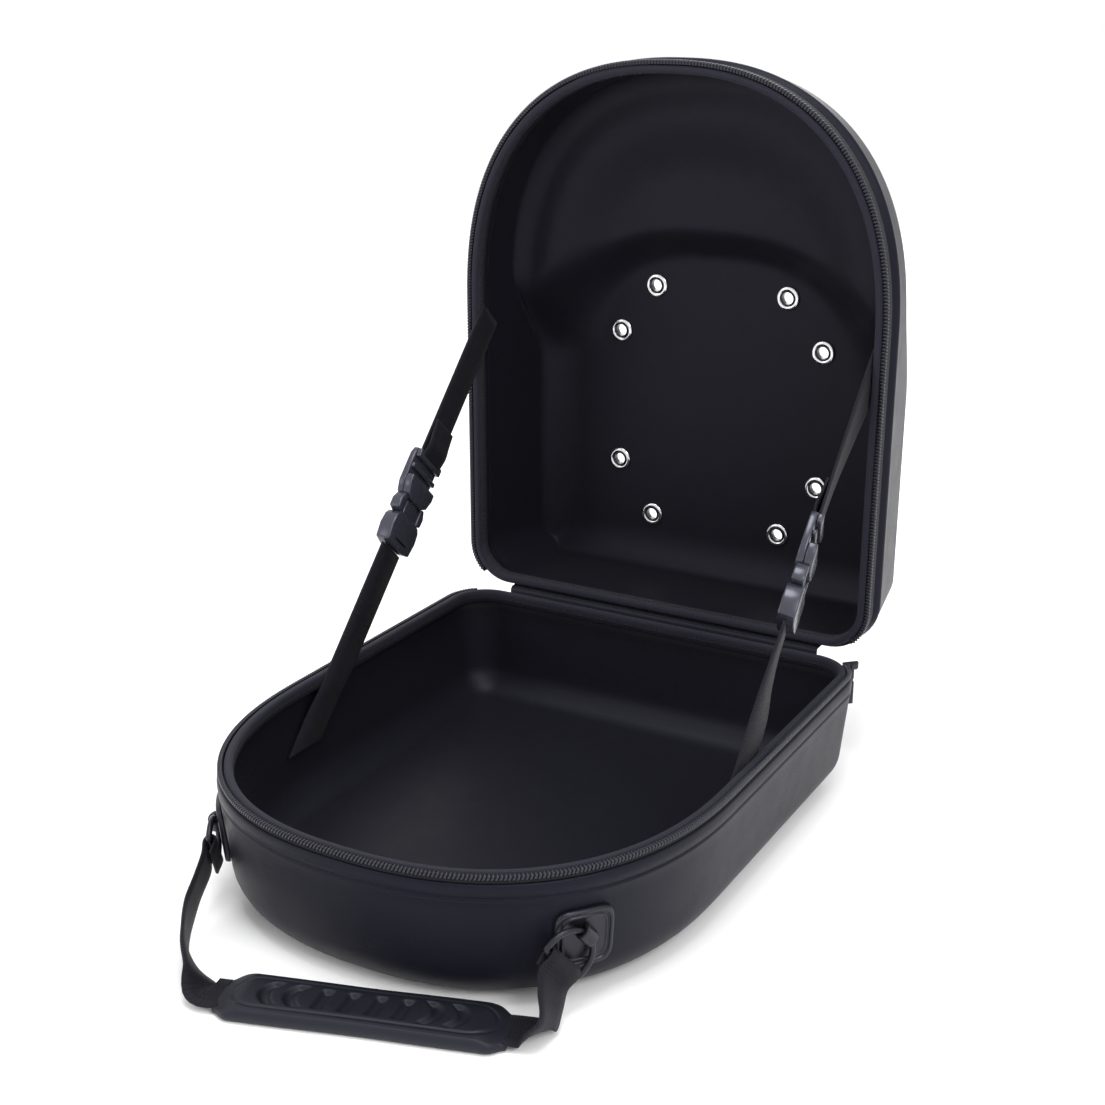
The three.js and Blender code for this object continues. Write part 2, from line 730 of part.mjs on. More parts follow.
// Lid, closed in its own group and turned open about the hinge line
const lid = new THREE.Group();
lid.position.set(0, caseLength / 2, baseDepth);
lid.rotation.x = -radians(openAngle);
group.add(lid);
addPiece(lid, 'lid_shell', lidShell(), 'shellCloth');
addPiece(lid, 'lid_binding',
  rimStrip(bindingProfile(chainHalf + tapeHeight), inLid, true), 'bindingCloth');
addPiece(lid, 'lid_zip_tape', rimStrip([
  [0.2, clearance], [0.2 + chainThickness, clearance], [0.2 + chainThickness, chainHalf + tapeHeight],
  [0.2 + chainThickness - tapeThickness, chainHalf + tapeHeight],
  [0.2 + chainThickness - tapeThickness, chainHalf], [0.2, chainHalf],
], inLid, false), 'zipCoil');
eyeletPlaces().forEach((place, i) => {
  const at = leanInLid(place, lidHeight(place));
  addPiece(lid, `eyelet_${i + 1}`, eyelet(), 'blackEyelet').position.copy(at);
  addPiece(lid, `washer_${i + 1}`, washer(), 'brightMetal').position.copy(at);
});

// Hinge strip: one leg down the tray's end wall, one along the lid's, which lies level when open
const stripLeg = 2 * bindingHeight;
const stripThickness = 1.4;
const stripLength = caseWidth - 2 * hingeCorner - 6;
const turnOpen = radians(openAngle);
const lidWay = new THREE.Vector2(Math.sin(turnOpen), Math.cos(turnOpen));
const lidOut = new THREE.Vector2(Math.cos(turnOpen), -Math.sin(turnOpen));
const legPlace = (along, off) => lidWay.clone().multiplyScalar(along).addScaledVector(lidOut, off);
const thick = clearance + stripThickness;
const stripShape = new THREE.Shape([
  new THREE.Vector2(clearance, -stripLeg), new THREE.Vector2(thick, -stripLeg),
  legPlace(thick, thick), legPlace(stripLeg, thick),
  legPlace(stripLeg, clearance), legPlace(clearance, clearance),
]);
const strip = new THREE.ExtrudeGeometry(stripShape, { depth: stripLength, bevelEnabled: false });
strip.translate(0, 0, -stripLength / 2);
strip.applyMatrix4(new THREE.Matrix4().makeBasis(
  new THREE.Vector3(0, 1, 0), new THREE.Vector3(0, 0, 1), new THREE.Vector3(1, 0, 0)
));
strip.translate(0, caseLength / 2, baseDepth);
addPiece(group, 'hinge_strip', strip, 'bindingCloth');

// Stays and handle, one of each on either side
for (const [side, name] of [[-1, 'left'], [1, 'right']]) {
  addStay(side, name);
  const frame = wallFrame(side, name);
  addPiece(group, `handle_patch_${name}`, patchBody(frame), 'blackPlastic');
  addPiece(group, `handle_ring_${name}`, ringBody(frame), 'blackPlastic');
  addPiece(group, `handle_web_${name}`, handleWeb(side, frame, webRoutes[name]), 'webbing');
}
addPiece(group, 'handle_grip', gripBody(), 'gripRubber');

// Zip slider and pull at the right end of the chain, on the tray's side of the parting plane
const chainEnd = outline(0)[hingeSteps + cornerSteps / 2];
const cornerWay = radians(-45);
const slider = new THREE.BoxGeometry(sliderLength, sliderThickness, sliderHeight);
const sliderMesh = addPiece(group, 'zip_slider', slider, 'blackPlastic');
sliderMesh.rotation.z = radians(90) - cornerWay;
sliderMesh.position.copy(onTray(chainEnd, baseDepth - clearance - sliderHeight / 2));
const cornerOut = new THREE.Vector3(Math.cos(cornerWay), -Math.sin(cornerWay), 0);
sliderMesh.position.addScaledVector(cornerOut, sliderThickness / 2 + clearance);
const pullMesh = addPiece(group, 'zip_pull',
  new THREE.BoxGeometry(pullWidth, pullThickness, pullLength), 'blackPlastic');
pullMesh.rotation.z = sliderMesh.rotation.z;
pullMesh.position.copy(sliderMesh.position);
pullMesh.position.z -= sliderHeight / 2 + clearance + pullLength / 2;

export default group;
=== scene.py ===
"""Dresses the cap carrier case: a moulded shell in two halves, lying open, with its zip, stays and handle."""

import math

import bmesh
import bpy
import numpy as np
from bpy.props import FloatProperty, FloatVectorProperty, IntProperty, PointerProperty
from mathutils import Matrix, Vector


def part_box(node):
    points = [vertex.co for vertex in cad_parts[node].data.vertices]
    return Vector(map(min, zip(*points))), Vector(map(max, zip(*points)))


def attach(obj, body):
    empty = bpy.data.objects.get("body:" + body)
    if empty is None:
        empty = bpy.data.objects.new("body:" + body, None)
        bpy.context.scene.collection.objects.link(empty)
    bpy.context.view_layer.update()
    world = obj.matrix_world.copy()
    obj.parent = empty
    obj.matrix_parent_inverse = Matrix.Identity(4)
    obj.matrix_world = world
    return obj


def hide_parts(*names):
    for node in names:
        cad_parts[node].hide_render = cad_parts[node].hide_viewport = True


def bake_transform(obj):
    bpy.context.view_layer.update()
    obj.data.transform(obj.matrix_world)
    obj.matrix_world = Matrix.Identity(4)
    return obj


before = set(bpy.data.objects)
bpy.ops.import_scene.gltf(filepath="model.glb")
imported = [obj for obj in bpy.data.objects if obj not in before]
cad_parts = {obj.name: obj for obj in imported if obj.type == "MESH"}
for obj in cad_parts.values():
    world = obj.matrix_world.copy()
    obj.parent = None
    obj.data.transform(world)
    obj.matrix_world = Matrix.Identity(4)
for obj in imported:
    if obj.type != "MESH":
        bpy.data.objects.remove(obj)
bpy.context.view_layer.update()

bl_info = {
    "name": "Cap Carrier Case",
    "version": (1, 0, 0),
    "blender": (4, 5, 0),
    "location": "3D View > Sidebar > Cap Case",
    "description": "Builds the open cap carrier case round its packed frame",
    "category": "Object",
}

MM = 0.001


# Shapes

def smooth(value, low, high):
    """Smoothstep of value from 0 at low to 1 at high: 3t^2 - 2t^3."""
    share = np.clip((value - low) / (high - low), 0, 1)
    return share * share * (3 - 2 * share)


def rounded_over(share, start):
    """Quarter round 1 - sqrt(1 - t^2), where t runs from 0 at start to 1 at a share of 1."""
    reach = np.clip((share - start) / (1 - start), 0, 1)
    return 1 - np.sqrt(np.maximum(1 - reach * reach, 0))


def unit(vectors):
    return vectors / np.maximum(np.linalg.norm(vectors, axis=-1, keepdims=True), 1e-9)


def spline(stations, steps):
    """Catmull-Rom curve through the stations, with steps points from each one to the next."""
    stations = np.asarray(stations, float)
    ends = np.vstack([2 * stations[0] - stations[1], stations, 2 * stations[-1] - stations[-2]])
    share = (np.arange(steps) / steps)[None, :, None]
    a, b, c, d = (ends[i:len(ends) - 3 + i][:, None, :] for i in range(4))
    curve = 0.5 * (2 * b + (c - a) * share + (2 * a - 5 * b + 4 * c - d) * share ** 2
                   + (3 * b - a - 3 * c + d) * share ** 3)
    return np.vstack([curve.reshape(-1, stations.shape[1]), stations[-1:]])


def signed_power(value, power):
    """Superellipse term: the value's size raised to a power, with its sign kept."""
    return np.sign(value) * np.abs(value) ** power


def travelled(points):
    """Distance from the first point to each point along the line through them."""
    steps = np.linalg.norm(np.diff(points, axis=0), axis=1)
    return np.concatenate([[0], np.cumsum(steps)])


class Case:
    """The case's forms in millimetres: places on the rim's outline, on the tray's walls and in the lid."""

    side_length, end_power, hinge_corner = 212, 2.35, 32
    chain_half, tape_height = 5, 5.7
    groove_depth, groove_height, groove_slope = 5, 6, 5
    binding_width, binding_height = 5.2, 8.7
    rim_band, back_fillet, draft = 12, 22, 7
    side_drop, block_round = 16, 30
    shoulder_height, shoulder_drop, shoulder_round = 61, 11, 14
    dome_height, valley_height, blend_width = 76, 50, 9
    block_start, block_end, block_power, block_flat = 0.434, 0.765, 2.6, 0.66
    dome_flat, dome_foot, lid_middle = 0.56, 0.86, 0.42
    lid_draft, face_draft = 14, 9.5
    eyelet_rows = ((0.1745, 0.585), (0.2705, 0.489), (0.2705, 0.223), (0.1745, 0.116))
    hole_radius, hole_surround = 5.6, 12
    gap, web_thickness = 0.3, 1.6

    def __init__(self, context):
        sizes = context.scene.cap_case_sizes
        self.length = sizes.case_length / MM
        self.width = sizes.case_width / MM
        self.base_depth = sizes.base_depth / MM
        self.lid_depth = sizes.lid_depth / MM
        self.wall = sizes.wall / MM
        self.web_width = sizes.web_width / MM
        self.pitch = sizes.tooth_pitch / MM
        self.columns = sizes.rim_columns
        self.rim_start = self.chain_half + self.tape_height + self.gap
        self.wall_start = self.rim_start + self.groove_height + self.groove_slope
        self.zip_first = self.columns // 8 + self.columns // 16

    def round_end(self, angle, inset):
        """A point of the superellipse end: x^p + y^p = 1, scaled; 0 degrees ends the side, 90 is the tip."""
        turn = np.radians(angle)
        across = self.width / 2 - inset
        reach = self.length - inset - self.side_length
        power = 2 / self.end_power
        return np.stack([across * np.abs(np.cos(turn)) ** power,
                         self.side_length + reach * np.abs(np.sin(turn)) ** power], -1)

    def half_width(self, along, inset):
        reach = self.length - inset - self.side_length
        share = max(along - self.side_length, 0) / reach
        return (self.width / 2 - inset) * (1 - share ** self.end_power) ** (1 / self.end_power)

    def outline(self, inset):
        """The whole outline moved in by inset, as (x, distance from the hinge), from the hinge's middle."""
        n = self.columns
        half = self.width / 2 - inset
        corner = max(self.hinge_corner - inset, 4)
        hinge = np.stack([(half - corner) * np.arange(n // 8) / (n // 8), np.full(n // 8, float(inset))], -1)
        turn = np.radians(np.linspace(-90, 0, n // 8, endpoint=False))
        bend = np.stack([half - corner + corner * np.cos(turn), inset + corner + corner * np.sin(turn)], -1)
        up = np.linspace(inset + corner, self.side_length, n // 5, endpoint=False)
        side = np.stack([np.full(len(up), half), up], -1)
        end = self.round_end(np.linspace(0, 90, n // 2), inset)
        end[-1, 0] = 0
        right = np.vstack([hinge, bend, side, end])
        left = right[1:-1][::-1] * (-1, 1)
        return np.vstack([right, left])

    def tucked(self, inset, share):
        """The outline drawn in behind the zip by a share of the groove, except along the hinge."""
        plain, deep = self.outline(inset), self.outline(inset + self.groove_depth)
        amount = (smooth(plain[:, 1], 0, self.hinge_corner) * share)[:, None]
        return plain * (1 - amount) + deep * amount

    def on_tray(self, plan, height):
        height = np.broadcast_to(height, plan.shape[:-1])
        return np.stack([plan[..., 0], self.length / 2 - plan[..., 1], height], -1)

    def in_lid(self, plan, depth):
        """A place of the open lid: its depth points backwards and its length upwards."""
        depth = np.broadcast_to(depth, plan.shape[:-1])
        return np.stack([plan[..., 0], self.length / 2 + depth, self.base_depth + plan[..., 1]], -1)

    def lean_in_lid(self, plan, depth, draft=None):
        """A place drawn in towards the hinge's middle as the lid's wall leans by its draft."""
        draft = self.lid_draft if draft is None else draft
        depth = np.broadcast_to(depth, plan.shape[:-1])
        share = np.maximum(depth - self.wall_start, 0) / (self.lid_depth - self.wall_start)
        drawn = np.stack([plan[..., 0] * (1 - share * draft * 2 / self.width),
                          plan[..., 1] * (1 - share * draft / self.length)], -1)
        return self.in_lid(drawn, depth)

    def lean(self, height):
        return self.draft * np.maximum(0, 1 - height / (self.base_depth - self.rim_band))

    def arch_share(self, plan, start, end, half, power):
        """1 on the edge of an arch-shaped form: (x/half)^p + ((y - start)/(end - start))^p = share^p."""
        across = np.abs(plan[..., 0]) / half
        along = np.maximum(plan[..., 1] - start, 0) / (end - start)
        return (across ** power + along ** power) ** (1 / power)

    def lid_height(self, plan):
        """Depth of the lid's outside: a low shoulder with a dome, and a high flat block, softly joined."""
        half = self.width / 2
        border = self.arch_share(plan, self.side_length, self.length, half, self.end_power)
        shoulder = self.shoulder_height - self.shoulder_drop * rounded_over(
            border, 1 - self.shoulder_round / half)
        dome_rise = self.dome_height - self.shoulder_height
        dome = dome_rise * (1 - smooth(border, self.dome_flat, self.dome_foot))
        low = shoulder + dome
        start = self.block_start * self.length
        block = self.arch_share(plan, start, self.block_end * self.length, half, self.block_power)
        edge = np.maximum(block, 1 - plan[..., 1] / half)
        ending = smooth(plan[..., 1], start, self.side_length + self.block_round)
        side_fall = self.side_drop * rounded_over(edge, 1 - self.block_round / half)
        end_fall = (self.lid_depth - self.valley_height) * smooth(block, self.block_flat, 1)
        high = self.lid_depth - (side_fall * (1 - ending) + end_fall * ending)
        meet = np.maximum(self.blend_width - np.abs(high - low), 0)
        return np.maximum(high, low) + meet * meet / (4 * self.blend_width)

    def eyelet_places(self):
        """Where the eyelets sit on the flat face of the crown block."""
        plan = np.array([(side * across * self.width, along * self.length)
                         for across, along in self.eyelet_rows for side in (-1, 1)])
        return self.lean_in_lid(plan, self.lid_height(plan), self.face_draft)


class Form:
    """Gathers grids of points, in millimetres, into the faces of one mesh."""

    def __init__(self):
        self.points = []
        self.faces = []
        self.slots = []
        self.uvs = []
        self.count = 0

    def grid(self, points, wrap_rows=False, wrap_columns=False, slot=0, caps=False):
        """Quads over a grid of points. The UV is each point's distance along its row and its column."""
        rows, columns = points.shape[:2]
        index = np.arange(rows * columns).reshape(rows, columns) + self.count
        spread = points
        if wrap_rows:
            index = np.vstack([index, index[:1]])
            spread = np.concatenate([spread, spread[:1]], 0)
        if wrap_columns:
            index = np.hstack([index, index[:, :1]])
            spread = np.concatenate([spread, spread[:, :1]], 1)
        down = np.linalg.norm(np.diff(spread, axis=0), axis=2).mean(1)
        over = np.linalg.norm(np.diff(spread, axis=1), axis=2).max(0)
        v, u = np.meshgrid(np.concatenate([[0], np.cumsum(down)]), np.concatenate([[0], np.cumsum(over)]),
                           indexing="ij")
        lower, upper = slice(None, -1), slice(1, None)
        corners = ((lower, lower), (lower, upper), (upper, upper), (upper, lower))
        quads = np.stack([index[c] for c in corners], -1).reshape(-1, 4)
        uv = np.stack([np.stack([u[c], v[c]], -1) for c in corners], -2).reshape(-1, 4, 2)
        self.points.append(points.reshape(-1, 3))
        self.faces += quads.tolist()
        self.uvs += uv.reshape(-1, 2).tolist()
        self.slots += [slot] * len(quads)
        if caps:
            for ring, place in ((index[0], 0), (index[-1], -1)):
                ring = ring[:columns]
                self.faces.append(ring.tolist())
                self.slots.append(slot)
                self.uvs += np.stack([u[place, :columns], v[place, :columns]], -1).tolist()
        self.count += rows * columns
        return self

    def close_start(self, grid, uv, slot):
        """A face over the first ring of the grid added last."""
        columns = grid.shape[1]
        first = self.count - grid.shape[0] * columns
        self.faces.append(list(range(first, first + columns)))
        self.slots.append(slot)
        self.uvs += uv.tolist()

    def tiled(self, template, centres, axes, slot=0):
        """Copies of a small grid of points, wrapped round its columns, at centres and on axes of three."""
        places = np.einsum("rck,nkj->nrcj", template, axes) + centres[:, None, None, :]
        rows, columns = template.shape[:2]
        index = np.arange(rows * columns).reshape(rows, columns)
        index = np.hstack([index, index[:, :1]])
        quads = np.stack([index[:-1, :-1], index[:-1, 1:], index[1:, 1:], index[1:, :-1]], -1).reshape(-1, 4)
        quads = np.vstack([quads, index[0, :4], index[-1, :4]]) if columns == 4 else quads
        every = quads[None] + (np.arange(len(centres)) * rows * columns)[:, None, None] + self.count
        self.points.append(places.reshape(-1, 3))
        self.faces += every.reshape(-1, 4).tolist()
        self.slots += [slot] * (len(quads) * len(centres))
        self.uvs += [[0, 0]] * (4 * len(quads) * len(centres))
        self.count += rows * columns * len(centres)

    def make(self, name, materials, keep=None):
        """One object at the origin. keep, given the faces' middles in millimetres, says which faces stay."""
        mesh = bpy.data.meshes.new(name)
        points = np.vstack(self.points)
        mesh.from_pydata((points * MM).tolist(), [], self.faces)
        for finish in materials:
            mesh.materials.append(finish)
        mesh.polygons.foreach_set("material_index", self.slots)
        layer = mesh.uv_layers.new(name="UVMap")
        layer.data.foreach_set("uv", (np.array(self.uvs) * MM).ravel())
        mesh.polygons.foreach_set("use_smooth", [True] * len(mesh.polygons))
        work = bmesh.new()
        work.from_mesh(mesh)
        if keep is not None:
            middles = np.array([tuple(face.calc_center_median()) for face in work.faces]) / MM
            gone = [face for face, stays in zip(work.faces[:], keep(middles)) if not stays]
            bmesh.ops.delete(work, geom=gone, context="FACES")
        bmesh.ops.recalc_face_normals(work, faces=work.faces)
        work.to_mesh(mesh)
        work.free()
        mesh.update()
        piece = bpy.data.objects.new(name, mesh)
        bpy.context.collection.objects.link(piece)
        return piece


def bevelled(piece, width, segments=3):
    """Rounds the piece's sharp edges by width, in millimetres."""
    modifier = piece.modifiers.new("Bevel", "BEVEL")
    modifier.width = width * MM
    modifier.segments = segments
    modifier.limit_method = "ANGLE"
    modifier.angle_limit = math.radians(40)
    modifier.harden_normals = False
    return piece


def dressed(piece, body, slot, *nodes):
    """The piece rides on a body and stands for the named nodes."""
    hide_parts(*nodes)
    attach(piece, body)


# Materials

class Socket:
    """A shader socket that adds Math nodes when it is used in a sum."""

    def __init__(self, shader, socket):
        self.shader = shader
        self.socket = socket

    def math(self, operation, *others):
        values = [self, *others]
        return self.shader.node("ShaderNodeMath", {i: v for i, v in enumerate(values)}, operation=operation)

    def __add__(self, other):
        return self.math("ADD", other)

    def __sub__(self, other):
        return self.math("SUBTRACT", other)

    def __mul__(self, other):
        return self.math("MULTIPLY", other)


class Shader:
    """A procedural material round one Principled BSDF."""

    def __init__(self, name, colour, roughness, metallic=0.0, specular=0.5, sheen=0.0, coat=0.0):
        self.material = bpy.data.materials.new(name)
        self.material.use_nodes = True
        self.nodes = self.material.node_tree.nodes
        self.principled = self.nodes["Principled BSDF"]
        inputs = self.principled.inputs
        inputs["Base Color"].default_value = (*colour, 1)
        inputs["Roughness"].default_value = roughness
        inputs["Metallic"].default_value = metallic
        inputs["Specular IOR Level"].default_value = specular
        if metallic == 0:
            inputs["Specular Tint"].default_value = (0.84, 0.84, 1.0, 1)
        inputs["Sheen Weight"].default_value = sheen
        inputs["Sheen Roughness"].default_value = 0.45
        inputs["Coat Weight"].default_value = coat
        self.material.diffuse_color = (*colour, 1)
        self.colour = colour

    def node(self, kind, inputs=None, output=0, **settings):
        """Adds a node with its settings and inputs, values or Sockets, and gives one output as a Socket."""
        made = self.nodes.new(kind)
        for key, value in settings.items():
            setattr(made, key, value)
        for key, value in (inputs or {}).items():
            if isinstance(value, Socket):
                self.material.node_tree.links.new(made.inputs[key], value.socket)
            else:
                made.inputs[key].default_value = value
        return Socket(self, made.outputs[output])

    def place(self, source="Object"):
        return self.node("ShaderNodeTexCoord", output=source)

    def split(self, vector):
        parts = self.nodes.new("ShaderNodeSeparateXYZ")
        self.material.node_tree.links.new(parts.inputs[0], vector.socket)
        return [Socket(self, out) for out in parts.outputs]

    def noise(self, scale, detail):
        inputs = {"Vector": self.place(), "Scale": scale, "Detail": detail}
        return self.node("ShaderNodeTexNoise", inputs)

    def tint(self, share, dark, light):
        """Base colour from dark to light shades of the colour, as share runs from 0 to 1."""
        low = (*[c * dark for c in self.colour], 1)
        high = (*[c * light for c in self.colour], 1)
        mixed = self.node("ShaderNodeMix", {0: share, 6: low, 7: high}, output=2, data_type="RGBA")
        self.set("Base Color", mixed)
        return self

    def bump(self, height, distance, strength, under=None):
        inputs = {"Height": height, "Distance": distance, "Strength": strength}
        if under is not None:
            inputs["Normal"] = under
        return self.node("ShaderNodeBump", inputs)

    def set(self, key, value):
        self.material.node_tree.links.new(self.principled.inputs[key], value.socket)
        return self


def shell_cloth(colour, name, roughness=0.42, sheen=0.02, specular=0.13):
    """Satin cloth stretched over board: a fine weave under a faint unevenness."""
    made = Shader(name, colour, roughness, specular=specular, sheen=sheen)
    x, y, z = made.split(made.place())
    pitch = 2 * math.pi / 0.0011
    weave = (x + y * 0.31).math("MULTIPLY", pitch).math("SINE") * (z - y * 0.73).math(
        "MULTIPLY", pitch).math("SINE")
    fine = made.bump(weave + made.noise(900, 3) * 1.2, 0.00006, 0.55)
    broad = made.bump(made.noise(14, 2), 0.0016, 0.25, under=fine)
    made.set("Normal", broad)
    made.set("Roughness", made.noise(60, 3) * 0.12 + (roughness - 0.06))
    made.tint(made.noise(260, 4), 0.86, 1.14)
    return made.material


def woven_band(colour, name, rib=0.0017, roughness=0.62):
    """Webbing: ribs across its width and a herringbone of yarns along it, on the UV in metres."""
    made = Shader(name, colour, roughness, specular=0.22, sheen=0.04)
    u, v, _ = made.split(made.place("UV"))
    turns = 2 * math.pi / rib
    ribs = (v * turns).math("SINE")
    zigzag = (u * (turns * 0.5)).math("SINE") * 1.3
    yarns = (v * (turns * 1.9) + zigzag).math("SINE")
    height = ribs * 0.5 + yarns * 0.5
    made.set("Normal", made.bump(height + made.noise(2500, 2) * 0.6, 0.00022, 0.8))
    # The base colour follows the weave's height: painted shade in the grooves between ribs and yarns, painted
    # highlight on the raised ribs.
    made.tint(height * 0.5 + 0.5, 0.62, 1.35)
    return made.material


def moulded(colour, name, roughness, grain=0.00004, specular=0.5, coat=0.0):
    """Moulded plastic or rubber with a fine spark-eroded grain."""
    made = Shader(name, colour, roughness, specular=specular, coat=coat)
    made.set("Normal", made.bump(made.noise(2200, 3), grain, 0.6))
    made.set("Roughness", made.noise(90, 3) * 0.16 + (roughness - 0.08))
    made.tint(made.noise(40, 3), 0.9, 1.12)
    return made.material


def metal(colour, name, roughness):
    """Polished plate with faint turning marks and wear."""
    made = Shader(name, colour, roughness, metallic=1.0)
    made.set("Roughness", made.noise(320, 3) * 0.14 + (roughness - 0.07))
    made.set("Normal", made.bump(made.noise(700, 2), 0.00002, 0.3))
    return made.material


MATERIALS = {}


def material(context, key):
    """The named finish, made once from the colour properties."""
    if key not in MATERIALS:
        colours = context.scene.cap_case_colours
        makers = {
            "outer": lambda: shell_cloth(colours.outer, "Outer cloth"),
            "lining": lambda: shell_cloth(colours.lining, "Lining cloth", 0.46, 0.02, 0.17),
            "binding": lambda: woven_band(colours.binding, "Binding cloth", 0.0012, 0.7),
            "web": lambda: woven_band(colours.web, "Webbing"),
            "tape": lambda: woven_band(colours.web, "Zip tape", 0.0009, 0.7),
            "coil": lambda: moulded(colours.coil, "Zip coil", 0.34, 0.00001),
            "plastic": lambda: moulded(colours.plastic, "Moulded plastic", 0.34, 0.00004, 0.4),
            "buckle": lambda: moulded(colours.buckle, "Buckle plastic", 0.26, 0.00002, 0.6),
            "rubber": lambda: moulded(colours.rubber, "Grip rubber", 0.48, 0.00006, 0.32),
            "eyelet": lambda: moulded(colours.plastic, "Black eyelet", 0.22, 0.000004, 0.4, 0.25),
            "thread": lambda: woven_band(colours.binding, "Stitching", 0.0004, 0.6),
            "nickel": lambda: metal(colours.nickel, "Bright nickel", 0.2),
        }
        MATERIALS[key] = makers[key]()
    return MATERIALS[key]


# Pieces

def scaled_rings(ring, middle, shares):
    """The ring drawn towards a middle: middle + share * (ring - middle), one ring for each share."""
    return middle + np.asarray(shares)[:, None, None] * (ring - middle)[None]


# The tray's sewn seam from below: distance down from the wall's top, and how far in it lies
TRAY_SEAM = ((10, 0), (9.2, 0.45), (8.6, 0.9), (8, 0.45), (7.2, -0.15), (4, -0.35), (1.2, 0))


def tray_shell(case, context):
    """Tray wall: a flat back, a quarter-round fillet, a leaning wall with a stitched seam, and the lining."""
    form = Form()
    middle = np.array([0, case.length / 2])
    shares = np.array([0.1, 0.3, 0.5, 0.7, 0.85, 0.95])
    for offset, slot in ((0.0, 0), (case.wall, 1)):
        radius = case.back_fillet - offset
        steps = []
        for angle in np.radians(np.linspace(0, 90, 11)):
            height = offset + radius * (1 - math.cos(angle))
            steps.append((offset + radius * (1 - math.sin(angle)) + case.lean(height), height))
        top = case.base_depth - case.chain_half - case.gap
        for height in np.linspace(case.back_fillet + 6, top - 11, 7):
            steps.append((offset + case.lean(height), height))
        if slot == 0:
            steps += [(inset, top - down) for down, inset in TRAY_SEAM]
        inwards = 1 if slot == 0 else -1
        steps.append((offset + 0.5 * inwards, top - 0.2))
        steps.append((offset + 1.2 * inwards, top))
        rings = [case.on_tray(case.outline(inset), height) for inset, height in steps]
        floor = scaled_rings(case.outline(steps[0][0]), middle, shares)
        grid = np.concatenate([case.on_tray(floor, steps[0][1]), rings])
        form.grid(grid, wrap_columns=True, slot=slot)
        form.close_start(grid, floor[0], slot)
    piece = form.make("tray_cloth_wall", [material(context, "outer"), material(context, "lining")])
    dressed(piece, "base", "shell_cloth", "base_shell")


def lid_shell(case, context):
    """Lid wall: the moulded face over rings of the outline, a leaning wall, the tucked groove, the lining."""
    form = Form()
    middle = np.array([0, case.lid_middle * case.length])
    turn = np.radians(np.linspace(0, 90, 22))
    shares = np.concatenate([np.linspace(0.05, 0.78, 44, endpoint=False), 0.78 + 0.22 * np.sin(turn)])
    outer = case.outline(0)
    heights = case.lid_height(scaled_rings(outer, middle, shares))
    for offset, slot in ((0.0, 0), (case.wall, 1)):
        border = case.outline(offset)
        rings = list(case.lean_in_lid(scaled_rings(border, middle, shares), heights - offset))
        for share in (0.08, 0.2, 0.4, 0.6, 0.8, 1.0):
            depth = (heights[-1] - offset) * (1 - share) + (case.wall_start + 2) * share
            rings.append(case.lean_in_lid(border, depth))
        fall = case.groove_height + case.groove_slope
        for share in np.linspace(0.1, 1, 9):
            depth = case.wall_start + 2 - share * (case.groove_slope + 3)
            rings.append(case.in_lid(case.tucked(offset, smooth(share, 0.15, 1)), depth))
        for share in (0.3, 0.7, 1.0):
            depth = case.wall_start - 1 - case.groove_slope - share * (fall - case.groove_slope - 1)
            rings.append(case.in_lid(case.tucked(offset, 1), depth))
        if slot == 0:
            rings.append(case.in_lid(case.tucked(case.wall, 1), case.rim_start))
        grid = np.array(rings)
        form.grid(grid, wrap_columns=True, slot=slot)
        form.close_start(grid, border, slot)
    points = np.vstack(form.points)
    hole, surround = case.hole_radius, case.hole_surround
    seats = case.eyelet_places()
    for at in seats:
        away = (points - at)[:, (0, 2)]
        reach = np.linalg.norm(away, axis=1)
        near = (reach < surround) & (points[:, 1] > at[1] - surround)
        grown = hole + reach * (surround - hole) / surround
        factor = np.where(near, grown / np.maximum(reach, 1e-6), 1)
        points[:, 0] = at[0] + away[:, 0] * factor
        points[:, 2] = at[2] + away[:, 1] * factor
    form.points = [points]

    def keep(middles):
        stays = np.ones(len(middles), bool)
        for at in seats:
            reach = np.linalg.norm((middles - at)[:, (0, 2)], axis=1)
            stays &= (reach > hole) | (middles[:, 1] < at[1] - surround)
        return stays

    piece = form.make("lid_cloth_wall", [material(context, "outer"), material(context, "lining")], keep)
    dressed(piece, "lid", "shell_cloth", "lid_shell")


def rim_halves(case):
    """Each half's name, body and way of placing an outline at a depth behind the parting plane."""
    return (("tray", "base", lambda plan, depth: case.on_tray(plan, case.base_depth - depth)),
            ("lid", "lid", case.in_lid))


def rim_strip(profile, place, cut):
    """A grid along the rim from a closed profile of outline and depth, over the part that cut leaves."""
    rings = np.stack([place(line[cut], depth) for line, depth in profile], 1)
    return np.swapaxes(rings, 0, 1)


def along_rim(line, place, depth, stations):
    """Centres at distances along a line, and axes there: forwards, into the depth, and square to both."""
    reach = travelled(line)
    along = stations(reach[-1])
    middle = np.stack([np.interp(along, reach, line[:, k]) for k in (0, 1)], -1)
    ahead = np.stack([np.interp(along + 1, reach, line[:, k]) for k in (0, 1)], -1)
    centres = place(middle, depth)
    forward = unit(place(ahead, depth) - centres)
    deepways = unit(place(middle, depth + 1) - centres)
    return centres, np.stack([forward, deepways, np.cross(forward, deepways)], 1)


def rolled(inside, width, height, top):
    """Profile of a rolled edge: straight legs under a superellipse of the given width, as inset and depth."""
    turn = np.radians(np.linspace(180, 0, 13))
    across = inside + width / 2 * (1 + signed_power(np.cos(turn), 0.8))
    rise = top + 2.6 * (1 - np.sin(turn) ** 0.8)
    return [(inside, height), *zip(across, rise), (inside + width, height)]


